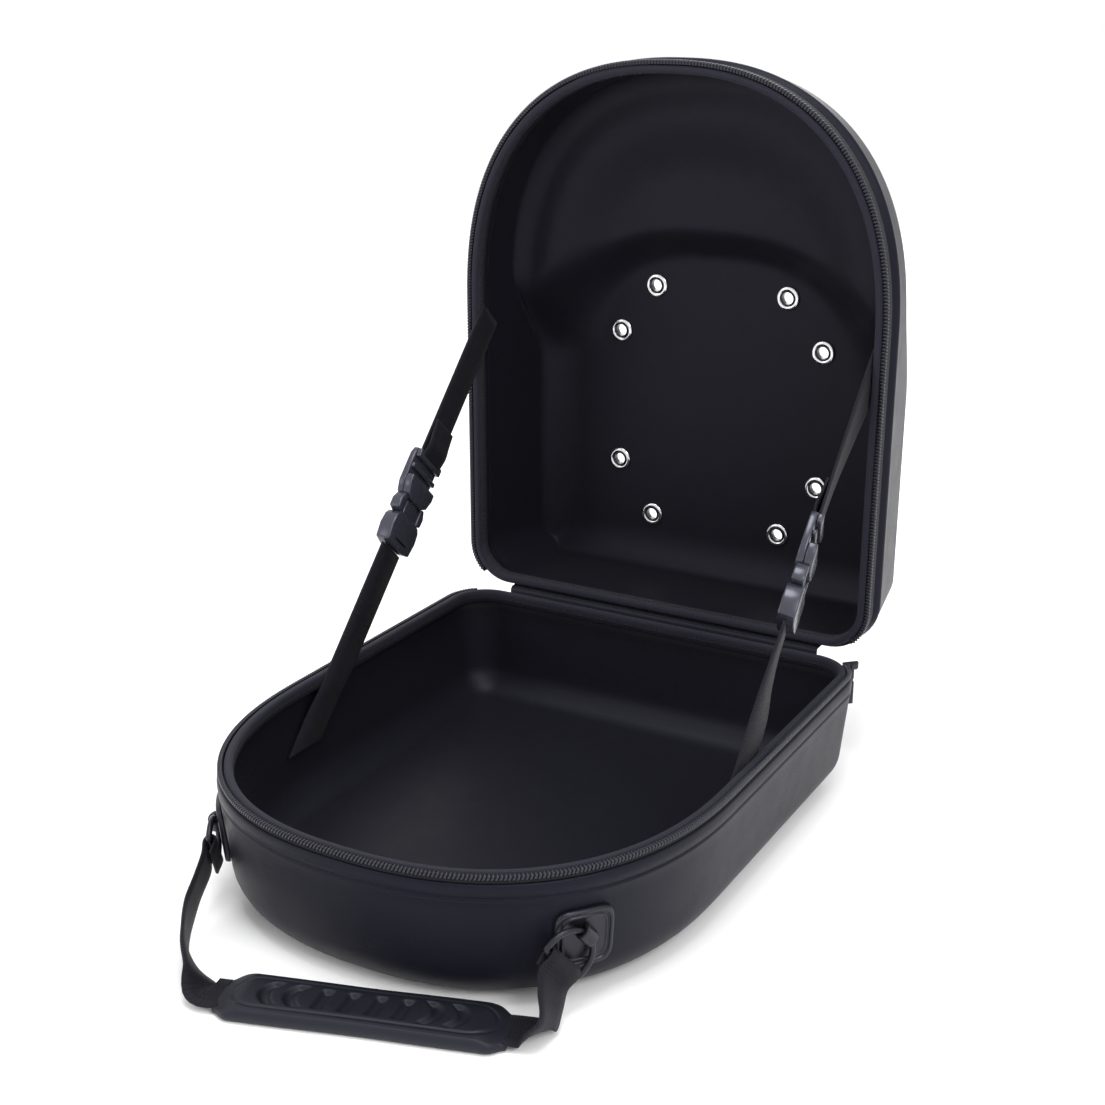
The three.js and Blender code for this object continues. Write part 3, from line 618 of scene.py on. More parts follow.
def bindings(case, context):
    """Rolled cloth bindings inside both rims, each with a row of stitches."""
    seat = case.gap + case.wall
    stitch_depth, stitch_pitch = 5.6, 3.4
    sections = ((-1.2, 0.25, 0, 0.2), (0, 0.3, -0.3, 0.35), (1.2, 0.25, 0, 0.2))
    stitch = np.array([[(end, -half, low), (end, half, low), (end, half, high), (end, -half, high)]
                       for end, half, low, high in sections])
    legs = {"tray": case.binding_height, "lid": case.chain_half + case.tape_height}
    for name, body, place in rim_halves(case):
        form = Form()
        profile = [(case.outline(inset), depth)
                   for inset, depth in rolled(seat, case.binding_width, legs[name], case.gap)]
        form.grid(rim_strip(profile, place, slice(None)), wrap_rows=True, wrap_columns=True)
        line = case.outline(seat + case.binding_width + 0.1)
        line = np.vstack([line, line[:1]])
        centres, axes = along_rim(line, place, stitch_depth, lambda whole: np.arange(0, whole, stitch_pitch))
        form.tiled(stitch, centres, axes, slot=1)
        piece = form.make(f"{name}_rolled_binding",
                          [material(context, "binding"), material(context, "thread")])
        dressed(piece, body, "binding_cloth", f"{body}_binding")


def zips(case, context):
    """Both halves of the zip chain: a woven tape with a row of slanted coil teeth on its edge."""
    legs = {"tray": case.chain_half, "lid": case.chain_half + case.tape_height}
    lane = ((-1.6, 0.5, 1.15), (-0.8, 0.72, 1.6), (0.6, 0.72, 1.7), (1.6, 0.5, 1.2))
    for name, body, place in rim_halves(case):
        form = Form()
        deep = legs[name]
        tape = ((1.1, deep), (1.1, 1.0), (1.4, 0.6), (2.3, 0.6), (2.6, 1.0), (2.6, deep))
        line = case.outline(1.9)
        cut = slice(case.zip_first, len(line) - case.zip_first + 1)
        profile = [(case.outline(inset), depth) for inset, depth in tape]
        form.grid(rim_strip(profile, place, cut), wrap_rows=True)
        centres, axes = along_rim(line[cut], place, 1.9,
                                  lambda whole: np.arange(case.pitch, whole - case.pitch, case.pitch))
        slant = 0.42 if name == "tray" else -0.42
        tooth = np.array([[(slant * d - w, d, -t), (slant * d + w, d, -t), (slant * d + w, d, t),
                           (slant * d - w, d, t)] for d, w, t in lane])
        form.tiled(tooth, centres, axes, slot=1)
        piece = form.make(f"{name}_zip_half", [material(context, "tape"), material(context, "coil")])
        bevelled(piece, 0.22, 1)
        dressed(piece, body, "zip_coil", f"{body}_zip_tape")


def lathe(profile, count=40):
    """Rings of a closed profile of radius and depth, turned about the depth axis, as a grid of points."""
    turn = np.linspace(0, 2 * math.pi, count, endpoint=False)
    radius, depth = np.array(profile, float).T
    return np.stack([radius[:, None] * np.cos(turn), np.broadcast_to(depth[:, None], (len(depth), count)),
                     radius[:, None] * np.sin(turn)], -1)


def vents(case, context):
    """Eight black eyelets through the lid, and the bright washers that clinch them inside."""
    outside = [(4.3, 0.2), (4.5, 0.9), (5.1, 1.5), (6, 1.75), (7.2, 1.55), (8.3, 1.05), (8.9, 0.5),
               (9, 0.12), (8.8, 0.02), (5.2, 0.02), (5.2, -5.2), (4.95, -5.5), (4.5, -5.4), (4.3, -5.1)]
    inside = [(5.3, -3.85), (8.5, -3.85), (8.6, -4.1), (8.2, -4.75), (7.4, -5.2), (6.6, -5.35),
              (5.9, -5.15), (5.4, -4.7)]
    for name, profile, slot, finish, node in (("vent_eyelets", outside, "black_eyelet", "eyelet", "eyelet"),
                                              ("vent_washers", inside, "bright_metal", "nickel", "washer")):
        form = Form()
        for at in case.eyelet_places():
            form.grid(lathe(profile) + at, wrap_rows=True, wrap_columns=True)
        piece = form.make(name, [material(context, finish)])
        dressed(piece, "lid", slot, *[f"{node}_{i}" for i in range(1, 9)])


def hinge_cloth(case, context):
    """A cloth strip down the tray's end wall and along the lid's, with two piped seams."""
    leg = 2 * case.binding_height
    half = case.width / 2 - case.hinge_corner - 3
    run = [(y, 0.0) for y in np.linspace(-leg, -1.2, 14)]
    bend = [(-1.2 + 1.5 * math.sin(a), 1.5 - 1.5 * math.cos(a)) for a in np.radians(np.linspace(15, 75, 5))]
    rise = [(0.3, y) for y in np.linspace(1.6, leg, 14)]
    line = np.array(run + bend + rise)
    from_seams = (line[:, 0] + leg - 2.5, line[:, 1] - leg + 2.5)
    pipes = 0.9 * sum(np.exp(-(away / 1.1) ** 2) for away in from_seams)
    inner = np.stack([0.35 + np.zeros(len(line)), line[:, 0]], -1)
    inner[len(run):] = np.stack([0.35 + line[len(run):, 1], np.full(len(line) - len(run), 0.35)], -1)
    normal = np.where(np.arange(len(line))[:, None] < len(run), (1.0, 0.0), (0.0, 1.0))
    corner = slice(len(run), len(run) + 5)
    normal[corner] = unit(np.stack([np.linspace(0.9, 0.3, 5), np.linspace(0.3, 0.9, 5)], -1))
    outer = inner + normal * (1.2 + pipes)[:, None]
    loop = np.vstack([inner, outer[::-1]])
    x = np.linspace(-half, half, 49)
    grid = np.stack([np.broadcast_to(x[:, None], (49, len(loop))),
                     np.broadcast_to(case.length / 2 + loop[:, 0], (49, len(loop))),
                     np.broadcast_to(case.base_depth + loop[:, 1], (49, len(loop)))], -1)
    form = Form().grid(grid, wrap_columns=True, caps=True)
    piece = form.make("hinge_cloth", [material(context, "binding")])
    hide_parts("hinge_strip")
    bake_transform(piece)


def band_grid(points, across, width, thickness, floor=None):
    """Sections of a flat band: centre +- side * width / 2 +- face * thickness / 2, with rounded edges."""
    along = unit(np.gradient(points, axis=0))
    side = unit(across - along * np.sum(along * across, 1, keepdims=True))
    face = np.cross(along, side)
    middle = points.copy()
    if floor is not None:
        lowest = floor + np.abs(side[:, 2]) * width / 2 + np.abs(face[:, 2]) * thickness / 2
        middle[:, 2] = np.maximum(middle[:, 2], lowest)
    section = np.array([(-0.97, -1), (-0.5, -1), (0, -1), (0.5, -1), (0.97, -1), (1, 0), (0.97, 1), (0.5, 1),
                        (0, 1), (-0.5, 1), (-0.97, 1), (-1, 0)])
    return (middle[:, None] + section[None, :, :1] * side[:, None] * width / 2
            + section[None, :, 1:] * face[:, None] * thickness / 2)


def turned_about(vectors, axis, angle):
    """Vectors square to a unit axis, turned about it: v cos a + (axis x v) sin a."""
    angle = np.asarray(angle)[..., None]
    return vectors * np.cos(angle) + np.cross(axis, vectors) * np.sin(angle)


class StayRun:
    """A stay's line in millimetres, from the lid's wall through the buckle to the tray's rim. At the buckle
    it is twisted by an angle and lies inward by some millimetres."""

    lid_depth, lid_along, tray_along, tray_down = 16, 200, 175, 45
    buckle_share, reach = 0.56, 36.3

    def __init__(self, case, side, twist, inward):
        self.side, self.twist = side, twist
        turn_in = case.gap + case.wall + case.binding_width
        inside = case.width / 2 - turn_in - case.gap - 0.2 - case.web_thickness / 2
        across, hinge = side * inside, case.length / 2
        self.top = np.array([across, hinge + self.lid_depth, case.base_depth + self.lid_along])
        self.rim = np.array([across, hinge - self.tray_along, case.base_depth])
        self.along = unit(self.rim - self.top)
        self.across = np.array([0, self.along[2], -self.along[1]])
        self.shift = np.array([-side * inward, 0, 0])
        self.middle = self.top + self.buckle_share * (self.rim - self.top) + self.shift
        self.across_buckle = turned_about(self.across, self.along, twist)


def upper_web(case, context, run, name):
    """Webbing from the lid's wall to the buckle, with its loose end lying back above the buckle."""
    width, thick = case.web_width, case.web_thickness
    along, count = run.along, 30
    share = np.linspace(0, 1, count)
    end = run.middle - along * run.reach
    straight = share[:, None] * (end + along * 6 - run.shift - run.top)
    line = run.top + straight + smooth(share, 0, 0.85)[:, None] * run.shift
    flat = np.repeat(run.across[None], count, 0)
    way = turned_about(flat, along, run.twist * smooth(share, 0.05, 0.9))
    form = Form().grid(band_grid(line, way, width, thick), wrap_columns=True, caps=True)
    off = np.cross(run.across_buckle, along)
    off = off * -np.sign(off[0] * run.side)
    tail = [end - along * back + off * lift for back, lift in ((-4, 2.6), (5, 4.2), (14, 3.2), (24, 2.2))]
    curve = spline(np.array(tail), 8)
    way = np.repeat(run.across_buckle[None], len(curve), 0)
    form.grid(band_grid(curve, way, width, thick), wrap_columns=True, caps=True)
    return form.make(f"stay_upper_web_{name}", [material(context, "web")])


def lower_web(case, context, run, name):
    """Webbing from the buckle to the tray's rim, and on down the tray's wall to its sewn end."""
    along, rim, shift = run.along, run.rim, run.shift
    place = run.tray_along + (run.tray_down * abs(along[1]) + case.web_width / 2) / abs(along[2])
    inset = case.wall + case.lean(case.base_depth - run.tray_down)
    wall_side = case.half_width(place, inset) - 2 * case.gap - case.web_thickness / 2
    half = np.array([0, np.sign(run.across[1]) * case.web_width / 2 / abs(along[2]), 0])
    rows = []
    start = run.middle + along * run.reach
    squares = run.across * case.web_width / 2
    thin = np.array([case.web_thickness / 2, 0, 0])
    for value in np.linspace(0, 1, 16):
        point = start - shift + value * (rim - start + shift) + shift * (1 - smooth(value, 0.1, 1))
        level = smooth(value, 0.4, 0.95)
        turn = run.twist * (1 - smooth(value, 0.0, 0.9))
        edge = turned_about(squares, along, turn) * (1 - level) + half * level
        rows.append((point, edge, turned_about(thin, along, turn)))
    for deep in np.linspace(2, run.tray_down, 26):
        point = rim - along * deep / along[2]
        out = smooth(deep, case.binding_height + 0.5, case.binding_height + 15)
        point[0] = run.side * (abs(rim[0]) * (1 - out) + wall_side * out)
        rows.append((point, half, thin))
    grid = np.array([[p - h * 0.98 - t, p - t, p + h * 0.98 - t, p + h, p + h * 0.98 + t, p + t,
                      p - h * 0.98 + t, p - h] for p, h, t in rows])
    form = Form().grid(grid, wrap_columns=True, caps=True)
    return form.make(f"stay_lower_web_{name}", [material(context, "web")])


# A buckle's half width, half length and half thickness
BUCKLE = np.array([17.0, 36.0, 5.5])

# Its parts: which sides they are on, their outline in shares of the half width and half length, and the
# heights between which they lie. "both" mirrors the outline and closes it, "each" makes two of the part.
BUCKLE_PARTS = (
    ("both", ((0.42, 1), (0.9, 17 / 18), (1, 0.66), (0.93, 0.45), (0.78, 0.36), (0.5, 0.33)), -5.5, 5.5),
    ("both", ((0.5, 0.02), (0.8, -0.06), (0.97, -0.26), (0.98, -0.86), (0.85, -1)), -5.225, -0.55),
    ("both", ((0.5, 0.02), (0.8, -0.06), (0.97, -0.26), (0.96, -0.42)), -0.5, 5.225),
    ("both", ((0.94, -0.8), (0.94, -0.97)), -0.5, 3.3),
    ("both", ((0.97, -0.56), (0.97, -0.66)), -0.5, 2.2),
    ("both", ((0.46, 0.32), (0.46, 0.03)), -3.025, 3.025),
    ("each", ((0.62, 0.35), (0.98, 0.3), (1, 0.12), (0.8, -0.04), (0.6, 0)), -4.125, 4.125),
    # "window" is a black slab through the buckle: painted shade standing in the opening of the webbing's
    # slot.
    ("window", ((-0.5, 0.88), (0.5, 0.88), (0.5, 0.8), (-0.5, 0.8)), -5.65, 5.65),
)


def buckle_form(axes, middle):
    """A side-release buckle: a socket with a window filled by a black slab of painted shade, two prongs in
    the waist, and a plug with its bar.
    """
    form = Form()
    for kind, outline, low, high in BUCKLE_PARTS:
        flat = np.array(outline) * BUCKLE[:2]
        mirror = flat * (-1, 1)
        outlines = {"both": [np.vstack([flat, mirror[::-1]])], "each": [mirror, flat], "window": [flat]}[kind]
        for points in outlines:
            rings = [np.column_stack([points, np.full(len(points), height)]) @ axes + middle
                     for height in (low, high)]
            # The window slab takes the second, black finish: painted shade in the slot's opening.
            form.grid(np.array(rings), wrap_columns=True, slot=int(kind == "window"), caps=True)
    return form


def stay(case, context, side, name, twist, inward):
    """One stay: webbing from the lid to the buckle, the buckle, and webbing on down into the tray."""
    run = StayRun(case, side, twist, inward)
    top, rim, middle = run.top, run.rim, run.middle
    upper = upper_web(case, context, run, name)
    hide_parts(f"stay_strap_upper_{name}")

    lower = lower_web(case, context, run, name)
    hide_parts(f"stay_strap_lower_{name}")

    axes = np.stack([run.across_buckle, run.along, np.cross(run.across_buckle, run.along)])
    buckle = buckle_form(axes, middle)
    # The second finish, black plastic, is the painted shade in the buckle's window.
    body = buckle.make(f"stay_side_buckle_{name}", [material(context, "buckle"), material(context, "eyelet")])
    bevelled(body, 1.1, 3)
    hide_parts(f"stay_buckle_{name}")

    near, far = middle - run.along * run.reach, middle + run.along * run.reach
    low = high = np.array([0.2, 0, 0])
    Vector(middle * MM - low)
    Vector(middle * MM + high)
    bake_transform(body)
    Vector(rim * MM)
    Vector((2 * far - rim) * MM)
    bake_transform(lower)
    Vector((2 * near - top) * MM)
    Vector(top * MM)
    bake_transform(upper)


def stays(case, context):
    """Both stays. The right one is twisted at its buckle and lies a little inward there."""
    for side, name, twist, inward in ((-1, "left", 0.0, 0.0), (1, "right", math.radians(-15), 3.2)):
        stay(case, context, side, name, twist, inward)


class Holder:
    """One handle patch on the tray's outer wall, with its ring's plane."""

    angle, height, width, tall, thickness = 41, 40, 34, 36, 2.4
    wire, ring_inside, legs, rise = 3.6, 26, 5, 3.2
    pulls = {"left": 60, "right": 50}

    def __init__(self, case, side, name):
        self.case, self.side = case, side
        self.origin = self.at(self.angle, self.height)
        along = self.at(self.angle + 0.5, self.height) - self.at(self.angle - 0.5, self.height)
        self.speed = np.linalg.norm(along)
        self.up = unit(self.at(self.angle, self.height + 1) - self.origin)
        self.along = unit(along)
        self.out = unit(np.cross(self.up, self.along) * side)
        turn = math.radians(self.pulls[name])
        self.pull = (math.sin(turn), -math.cos(turn))
        self.radius = (self.ring_inside + self.wire) / 2
        self.bow_out = 0.3 + self.thickness + 0.3 + self.wire / 2 + 0.2
        self.reach = self.radius + self.legs

    def at(self, angle, height):
        plan = self.case.round_end(angle, self.case.lean(height))
        return self.case.on_tray(plan * (self.side, 1), height)

    def on_wall(self, a, b, out):
        heights = self.height + np.asarray(b, float)
        places = np.array([self.at(self.angle + u / self.speed, h)
                           for u, h in zip(np.ravel(a), np.ravel(heights))])
        return places + np.ravel(np.broadcast_to(out, np.shape(a)))[:, None] * self.out

    def ring_place(self, forward, sideways, lift=0.0):
        forward, sideways = np.broadcast_arrays(np.asarray(forward, float), np.asarray(sideways, float))
        a = self.pull[0] * forward - self.pull[1] * sideways
        b = 4 + self.pull[1] * forward + self.pull[0] * sideways
        out = self.bow_out + self.rise * forward / self.reach + lift
        return self.origin + a[..., None] * self.along + b[..., None] * self.up + out[..., None] * self.out


def wire_loop(points, diameter, flat, count=14):
    """A closed round wire through the points: centre + cos * side + sin * flat, times its radius."""
    along = unit(np.roll(points, -1, 0) - np.roll(points, 1, 0))
    side = unit(np.cross(along, flat))
    turn = np.linspace(0, 2 * math.pi, count, endpoint=False)
    return points[:, None] + diameter / 2 * (np.cos(turn)[None, :, None] * side[:, None]
                                             + np.sin(turn)[None, :, None] * flat)


def holder(case, context, side, name):
    """One end of the handle on the wall: the bordered patch with its bridge, and the D ring."""
    anchor = Holder(case, side, name)
    turn = np.linspace(0, 2 * math.pi, 64, endpoint=False)
    bulge_x = signed_power(np.cos(turn), 0.42)
    bulge_y = signed_power(np.sin(turn), 0.42)
    profile = [(0.3, 0.3), (1, 0.3), (1.0, 1.6), (0.99, 2.6), (0.96, 3.3), (0.92, 3.4), (0.87, 3.2),
               (0.845, 2.4), (0.82, 2.0), (0.79, 2.4), (0.77, 2.9), (0.745, 3.0), (0.72, 2.8), (0.7, 2.3),
               (0.66, 2.2), (0.3, 2.3)]
    form = Form()
    grid = np.array([
        anchor.on_wall(share * anchor.width / 2 * bulge_x, share * anchor.tall / 2 * bulge_y, out)
        for share, out in profile])
    form.grid(grid, wrap_columns=True, caps=True)
    room = anchor.wire / 2 + 0.7
    outside = room + 2
    arch = np.radians(np.linspace(180, 0, 13))
    foot = -3.2
    inner = np.stack([room * np.cos(arch), 0.2 + (room - 0.1) * np.sin(arch)], -1)
    outer = np.stack([outside * np.cos(arch), 0.2 + (outside - 0.2) * np.sin(arch)], -1)[::-1]
    section = np.vstack([(-room, foot), inner, (room, foot), (outside, foot), outer, (-outside, foot)])
    rows = [anchor.ring_place(section[:, 0], np.full(len(section), w), section[:, 1])
            for w in np.linspace(-4.5, 4.5, 7)]
    form.grid(np.array(rows), wrap_columns=True, caps=True)
    patch = bevelled(form.make(f"handle_plate_{name}", [material(context, "plastic")]), 0.3, 2)
    dressed(patch, "base", "black_plastic", f"handle_patch_{name}")

    bow = np.radians(np.linspace(-90, 90, 37))
    radius, reach = anchor.radius, anchor.reach
    line = [anchor.ring_place(radius - radius * np.cos(bow), radius * np.sin(bow))]
    bend = np.radians(np.linspace(0, 90, 6))
    line.append(anchor.ring_place(reach - 2 + 2 * np.sin(bend), radius - 2 + 2 * np.cos(bend)))
    line.append(anchor.ring_place(np.full(9, reach), np.linspace(radius - 4, -radius + 4, 9)))
    line.append(anchor.ring_place(reach - 2 + 2 * np.cos(bend), -radius + 2 - 2 * np.sin(bend)))
    flat = unit(anchor.ring_place(0, 0, 1.0) - anchor.ring_place(0, 0))
    loop = wire_loop(np.vstack(line), anchor.wire, flat)
    ring = Form().grid(loop, wrap_rows=True, wrap_columns=True)
    ring = ring.make(f"handle_d_ring_{name}", [material(context, "plastic")])
    dressed(ring, "base", "black_plastic", f"handle_ring_{name}")
    return anchor


GRIP = {"length": 158, "width": 36, "thickness": 9, "angle": math.radians(17.6), "x": 28, "beyond": 18}

# The handle webbing's chosen points: share of the way from ring to grip, how far out and how high in shares
# of the webbing's width, and the way its width points
ROUTES = {
    "left": [(0.16, 0.22, 0.86, (0.2, -0.25, 0.95)), (0.36, 0.42, 0.6, (0, 0, 1)),
             (0.58, 0.45, 0.52, (0, -0.1, 1)), (0.76, 0.34, 0.42, (0.1, -0.5, 0.85)),
             (0.9, 0.16, 0.25, (0.25, -0.8, 0.5))],
    "right": [(0.4, 0.2, 0.72, (-0.2, -0.6, 0.75)), (0.85, 0.42, 0.42, (0.07, -0.7, 0.7))],
}


def grip_axes(case):
    middle = np.array([GRIP["x"], -case.length / 2 - GRIP["beyond"], GRIP["thickness"] / 2])
    along = np.array([math.cos(GRIP["angle"]), math.sin(GRIP["angle"]), 0])
    return middle, along, np.array([-along[1], along[0], 0])


def handle_web(case, context, anchor, side, name):
    """The webbing from the ring's bar, round it and on to the grip's end, on a smooth curve."""
    thick = case.web_thickness
    middle, along, grip_across = grip_axes(case)
    clear = anchor.wire / 2 + 2 * case.gap + thick / 2

    def bar(forward, lift):
        return anchor.ring_place(anchor.reach + forward, 0.0, lift)

    points = [bar(8, -1.2), bar(0.6, -clear), bar(-clear * 0.8, -clear * 0.7), bar(-clear * 1.1, 0),
              bar(-clear * 0.8, clear * 0.7), bar(0.6, clear), bar(8, clear)]
    across = [unit(anchor.ring_place(anchor.reach, 1.0) - bar(0, 0))] * len(points)
    start = points[-1]
    end = middle + along * side * (GRIP["length"] / 2 + case.gap + 8)
    way = unit((end - start) * (1, 1, 0))
    outward = np.array([side * -way[1], side * way[0], 0])
    for share, out, height, width in ROUTES[name]:
        place = start + share * (end - start) + outward * out * case.web_width
        place[2] = height * case.web_width
        points.append(place)
        across.append(np.array(width, float))
    for beyond in (8, -3):
        points.append(middle + along * side * (GRIP["length"] / 2 + case.gap + beyond))
        across.append(-grip_across)
    both = spline(np.hstack([np.array(points), np.array(across)]), 7)
    grid = band_grid(both[:, :3], both[:, 3:], case.web_width, thick, floor=case.gap)
    form = Form().grid(grid, wrap_columns=True, caps=True)
    piece = form.make(f"handle_webbing_{name}", [material(context, "web")])
    dressed(piece, "base", "webbing", f"handle_web_{name}")


def grip(case, context):
    """Moulded pad: a sunk seam line round its middle panel, with bars across its middle and chevrons at its
    ends.
    """
    middle, along, across = grip_axes(case)
    length, width, thick = GRIP["length"], GRIP["width"], GRIP["thickness"]
    rows, columns = 221, 61
    u = np.sin(np.radians(np.linspace(-90, 90, rows))) * 0.25 + np.linspace(-1, 1, rows) * 0.75
    taper = 1 - 0.3 * smooth(np.abs(u), 0.86, 1.0) ** 1.5 - 0.04 * np.exp(-(u / 0.4) ** 2)
    rise = 1 - 0.42 * smooth(np.abs(u), 0.8, 1.0)
    w = np.linspace(-0.93, 0.93, columns)
    top = np.broadcast_to(1 - 0.16 * np.abs(w) ** 4, (rows, columns)).copy()
    a = (u * length / 2)[:, None]
    b = (w * width / 2)[None]
    seam = np.abs(np.hypot(np.maximum(np.abs(a) - length / 2 + 22, 0) * 0.8, np.abs(b)) - 12.6)
    relief = -0.55 * np.exp(-(seam / 0.8) ** 2) * (1 - smooth(np.abs(a), length / 2 - 8, length / 2 - 6))
    groove, groove_half = 2.4, 3.0
    for spot in (-22, -7.5, 7.5, 22):
        off = a - spot - 0.12 * b
        relief = relief - groove * np.exp(-(off / groove_half) ** 4) * (1 - smooth(np.abs(b), 6.5, 9.5))
    for spot in (40, 54):
        off = np.abs(a) - spot + b * b * 0.06
        relief = relief - groove * np.exp(-(off / groove_half) ** 4) * (1 - smooth(np.abs(b), 8, 10.5))
    upper = top * rise[:, None] * thick + relief
    side = np.array([(1.0, 0.62), (1.02, 0.42), (1.0, 0.22), (0.95, 0.06), (0.88, 0.0)])
    right = np.array([[(s, h * r * thick) for s, h in side] for r in rise])
    left = right[:, ::-1] * (-1, 1)
    grid = np.concatenate([np.stack([np.broadcast_to(w, (rows, columns)), upper], -1), right, left], 1)
    place = (middle * (1, 1, 0) + a[..., None] * along
             + (grid[..., 0] * taper[:, None] * width / 2)[..., None] * across)
    place[..., 2] += grid[..., 1]
    form = Form().grid(place, wrap_columns=True, caps=True)
    piece = form.make("handle_moulded_grip", [material(context, "rubber")])
    dressed(piece, "base", "grip_rubber", "handle_grip")


def handle(case, context):
    """The carry handle: two holders on the wall, two lengths of webbing and the grip."""
    for side, name in ((-1, "left"), (1, "right")):
        anchor = holder(case, context, side, name)
        handle_web(case, context, anchor, side, name)
    grip(case, context)


# The slider's and the pull's blocks: size along the zip, outwards and up, and place from the slider's middle
SLIDER_BLOCKS = (
    ((11, 2.4, 5), (0, -1.3, 0)),
    ((8, 1.6, 4.6), (0, 0.7, 0)),
    ((2.2, 1.8, 3.2), (0, 1.7, 0.4)),
)
PULL_BLOCKS = (
    ((4, 1.8, 7), (0, 0.4, -5.6)),
    ((3.2, 1.5, 4), (0, 0.4, -9.6)),
    ((4.6, 1.9, 16), (0, 0.4, -18.8)),
)


def slider(context):
    """The zip's slider, a bridged block, with its pull hanging from a small eye at the right-hand corner."""
    low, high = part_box("zip_slider")
    centre = (np.array(low) + np.array(high)) / 2 / MM
    slant = math.sqrt(0.5)
    axes = np.array([(slant, slant, 0), (slant, -slant, 0), (0, 0, 1.0)])

    def blocks(name, rows, rounding):
        form = Form()
        for size, place in rows:
            x, y, z = np.array(size) / 2
            rings = np.array([[(-x, -y, h), (x, -y, h), (x, y, h), (-x, y, h)] for h in (-z, z)])
            form.grid((rings + place) @ axes + centre, wrap_columns=True, caps=True)
        return bevelled(form.make(name, [material(context, "plastic")]), rounding, 3)

    piece = blocks("zip_slider_body", SLIDER_BLOCKS, 0.5)
    dressed(piece, "base", "black_plastic", "zip_slider")
    piece = blocks("zip_pull_tab", PULL_BLOCKS, 0.6)
    dressed(piece, "base", "black_plastic", "zip_pull")


# Stage

# Metres: the point that the lights face, the camera's place and the way it looks
LIT_POINT = (0, 0.08, 0.14)
CAMERA_PLACE = (0.484, -0.812, 0.522)
CAMERA_WAY = (-0.4654, 0.8205, -0.3320)

# Each light's place, its diameter and the property with its power
LIGHTS = {
    "Key": ((1.7, -1.0, 1.8), 1.0, "key_power"),
    "Fill": ((-1.6, -1.9, 1.4), 1.2, "fill_power"),
    "Top": ((0.1, -0.2, 2.3), 1.1, "top_power"),
    "Back": ((-0.6, 2.1, 1.3), 1.4, "back_power"),
}
PICTURE_SIDE = 1105
FLOOR_SIDE, FLOOR_DROP = 30, 0.0006


def aimed(way):
    """The turn of a lamp or camera that looks along a way."""
    return Vector(way).to_track_quat("-Z", "Y").to_euler()


def soft_light(name, place, size, power):
    data = bpy.data.lights.new(name, "AREA")
    data.shape = "DISK"
    data.size = size
    data.energy = power
    lamp = bpy.data.objects.new(name, data)
    lamp.location = place
    bpy.context.collection.objects.link(lamp)
    lamp.rotation_euler = aimed(Vector(LIT_POINT) - lamp.location)


def stage(context):
    """A pale floor, a pale surround, soft lights and the camera at the photographed angle."""
    look = context.scene.cap_case_stage
    scene = context.scene
    bpy.ops.mesh.primitive_plane_add(size=FLOOR_SIDE, location=(0, 0, -FLOOR_DROP))
    floor = context.active_object
    floor.name = "pale_floor"
    paint = bpy.data.materials.new("Pale floor")
    paint.use_nodes = True
    principled = paint.node_tree.nodes["Principled BSDF"]
    principled.inputs["Base Color"].default_value = (*look.floor, 1)
    principled.inputs["Roughness"].default_value = 0.9
    principled.inputs["Specular IOR Level"].default_value = 0.1
    floor.data.materials.append(paint)

    world = bpy.data.worlds.new("Surround")
    scene.world = world
    world.use_nodes = True
    background = world.node_tree.nodes["Background"]
    background.inputs["Color"].default_value = (*look.surround, 1)
    background.inputs["Strength"].default_value = look.surround_strength

    for name, (place, size, power) in LIGHTS.items():
        soft_light(name, place, size, getattr(look, power))

    data = bpy.data.cameras.new("Camera")
    data.lens = look.lens
    data.sensor_width = 36
    data.clip_start = 0.01
    camera = bpy.data.objects.new("Camera", data)
    bpy.context.collection.objects.link(camera)
    camera.location = CAMERA_PLACE
    camera.rotation_euler = aimed(CAMERA_WAY)
    camera.rotation_euler.rotate_axis("Z", math.radians(look.roll))
    scene.camera = camera
    scene.render.resolution_x = PICTURE_SIDE
    scene.render.resolution_y = PICTURE_SIDE
    scene.render.engine = "CYCLES"
    scene.cycles.samples = 96
    scene.cycles.use_denoising = True
    scene.cycles.seed = 7
    scene.view_settings.view_transform = "Standard"
    scene.view_settings.look = "None"


# Properties

def colour(name, description, value):
    return FloatVectorProperty(name=name, description=description, default=value, subtype="COLOR", size=3,
                               min=0.0, max=1.0)


def length(name, description, value):
    return FloatProperty(name=name, description=description, default=value, unit="LENGTH", min=0.0)


class CapCaseSizes(bpy.types.PropertyGroup):
    """Sizes of the shell, the webbing and the zip."""

    case_length: length("Length", "From the hinge edge to the round end's tip", 0.38)
    case_width: length("Width", "Across both halves", 0.31)
    base_depth: length("Tray depth", "From the tray's back to the parting plane", 0.082)
    lid_depth: length("Lid depth", "From the parting plane to the face of the crown block", 0.098)
    wall: length("Wall", "Padded board with its cloth", 0.0035)
    web_width: length("Webbing", "Width of the stays and the handle's webbing", 0.025)
    tooth_pitch: length("Tooth pitch", "Distance from one zip tooth to the next", 0.0022)
    rim_columns: IntProperty(name="Rim columns", description="Detail of the outline", default=120, min=32)


class CapCaseColours(bpy.types.PropertyGroup):
    """Colours of the finishes."""

    outer: colour("Outer cloth", "Satin cloth outside", (0.0058, 0.0056, 0.0108))
    lining: colour("Lining", "Cloth inside", (0.0060, 0.0058, 0.0096))
    binding: colour("Binding", "Rolled edges and the hinge strip", (0.0135, 0.0130, 0.0210))
    web: colour("Webbing", "Stays, handle webbing and zip tape", (0.0050, 0.0050, 0.0074))
    coil: colour("Zip coil", "Teeth of the zip", (0.010, 0.010, 0.014))
    plastic: colour("Plastic", "Patches, rings, slider and eyelets", (0.0060, 0.0060, 0.0085))
    buckle: colour("Buckle", "Side-release buckles", (0.028, 0.028, 0.038))
    rubber: colour("Rubber", "Moulded grip", (0.0072, 0.0078, 0.0115))
    nickel: colour("Nickel", "Washers inside the lid", (0.72, 0.73, 0.75))


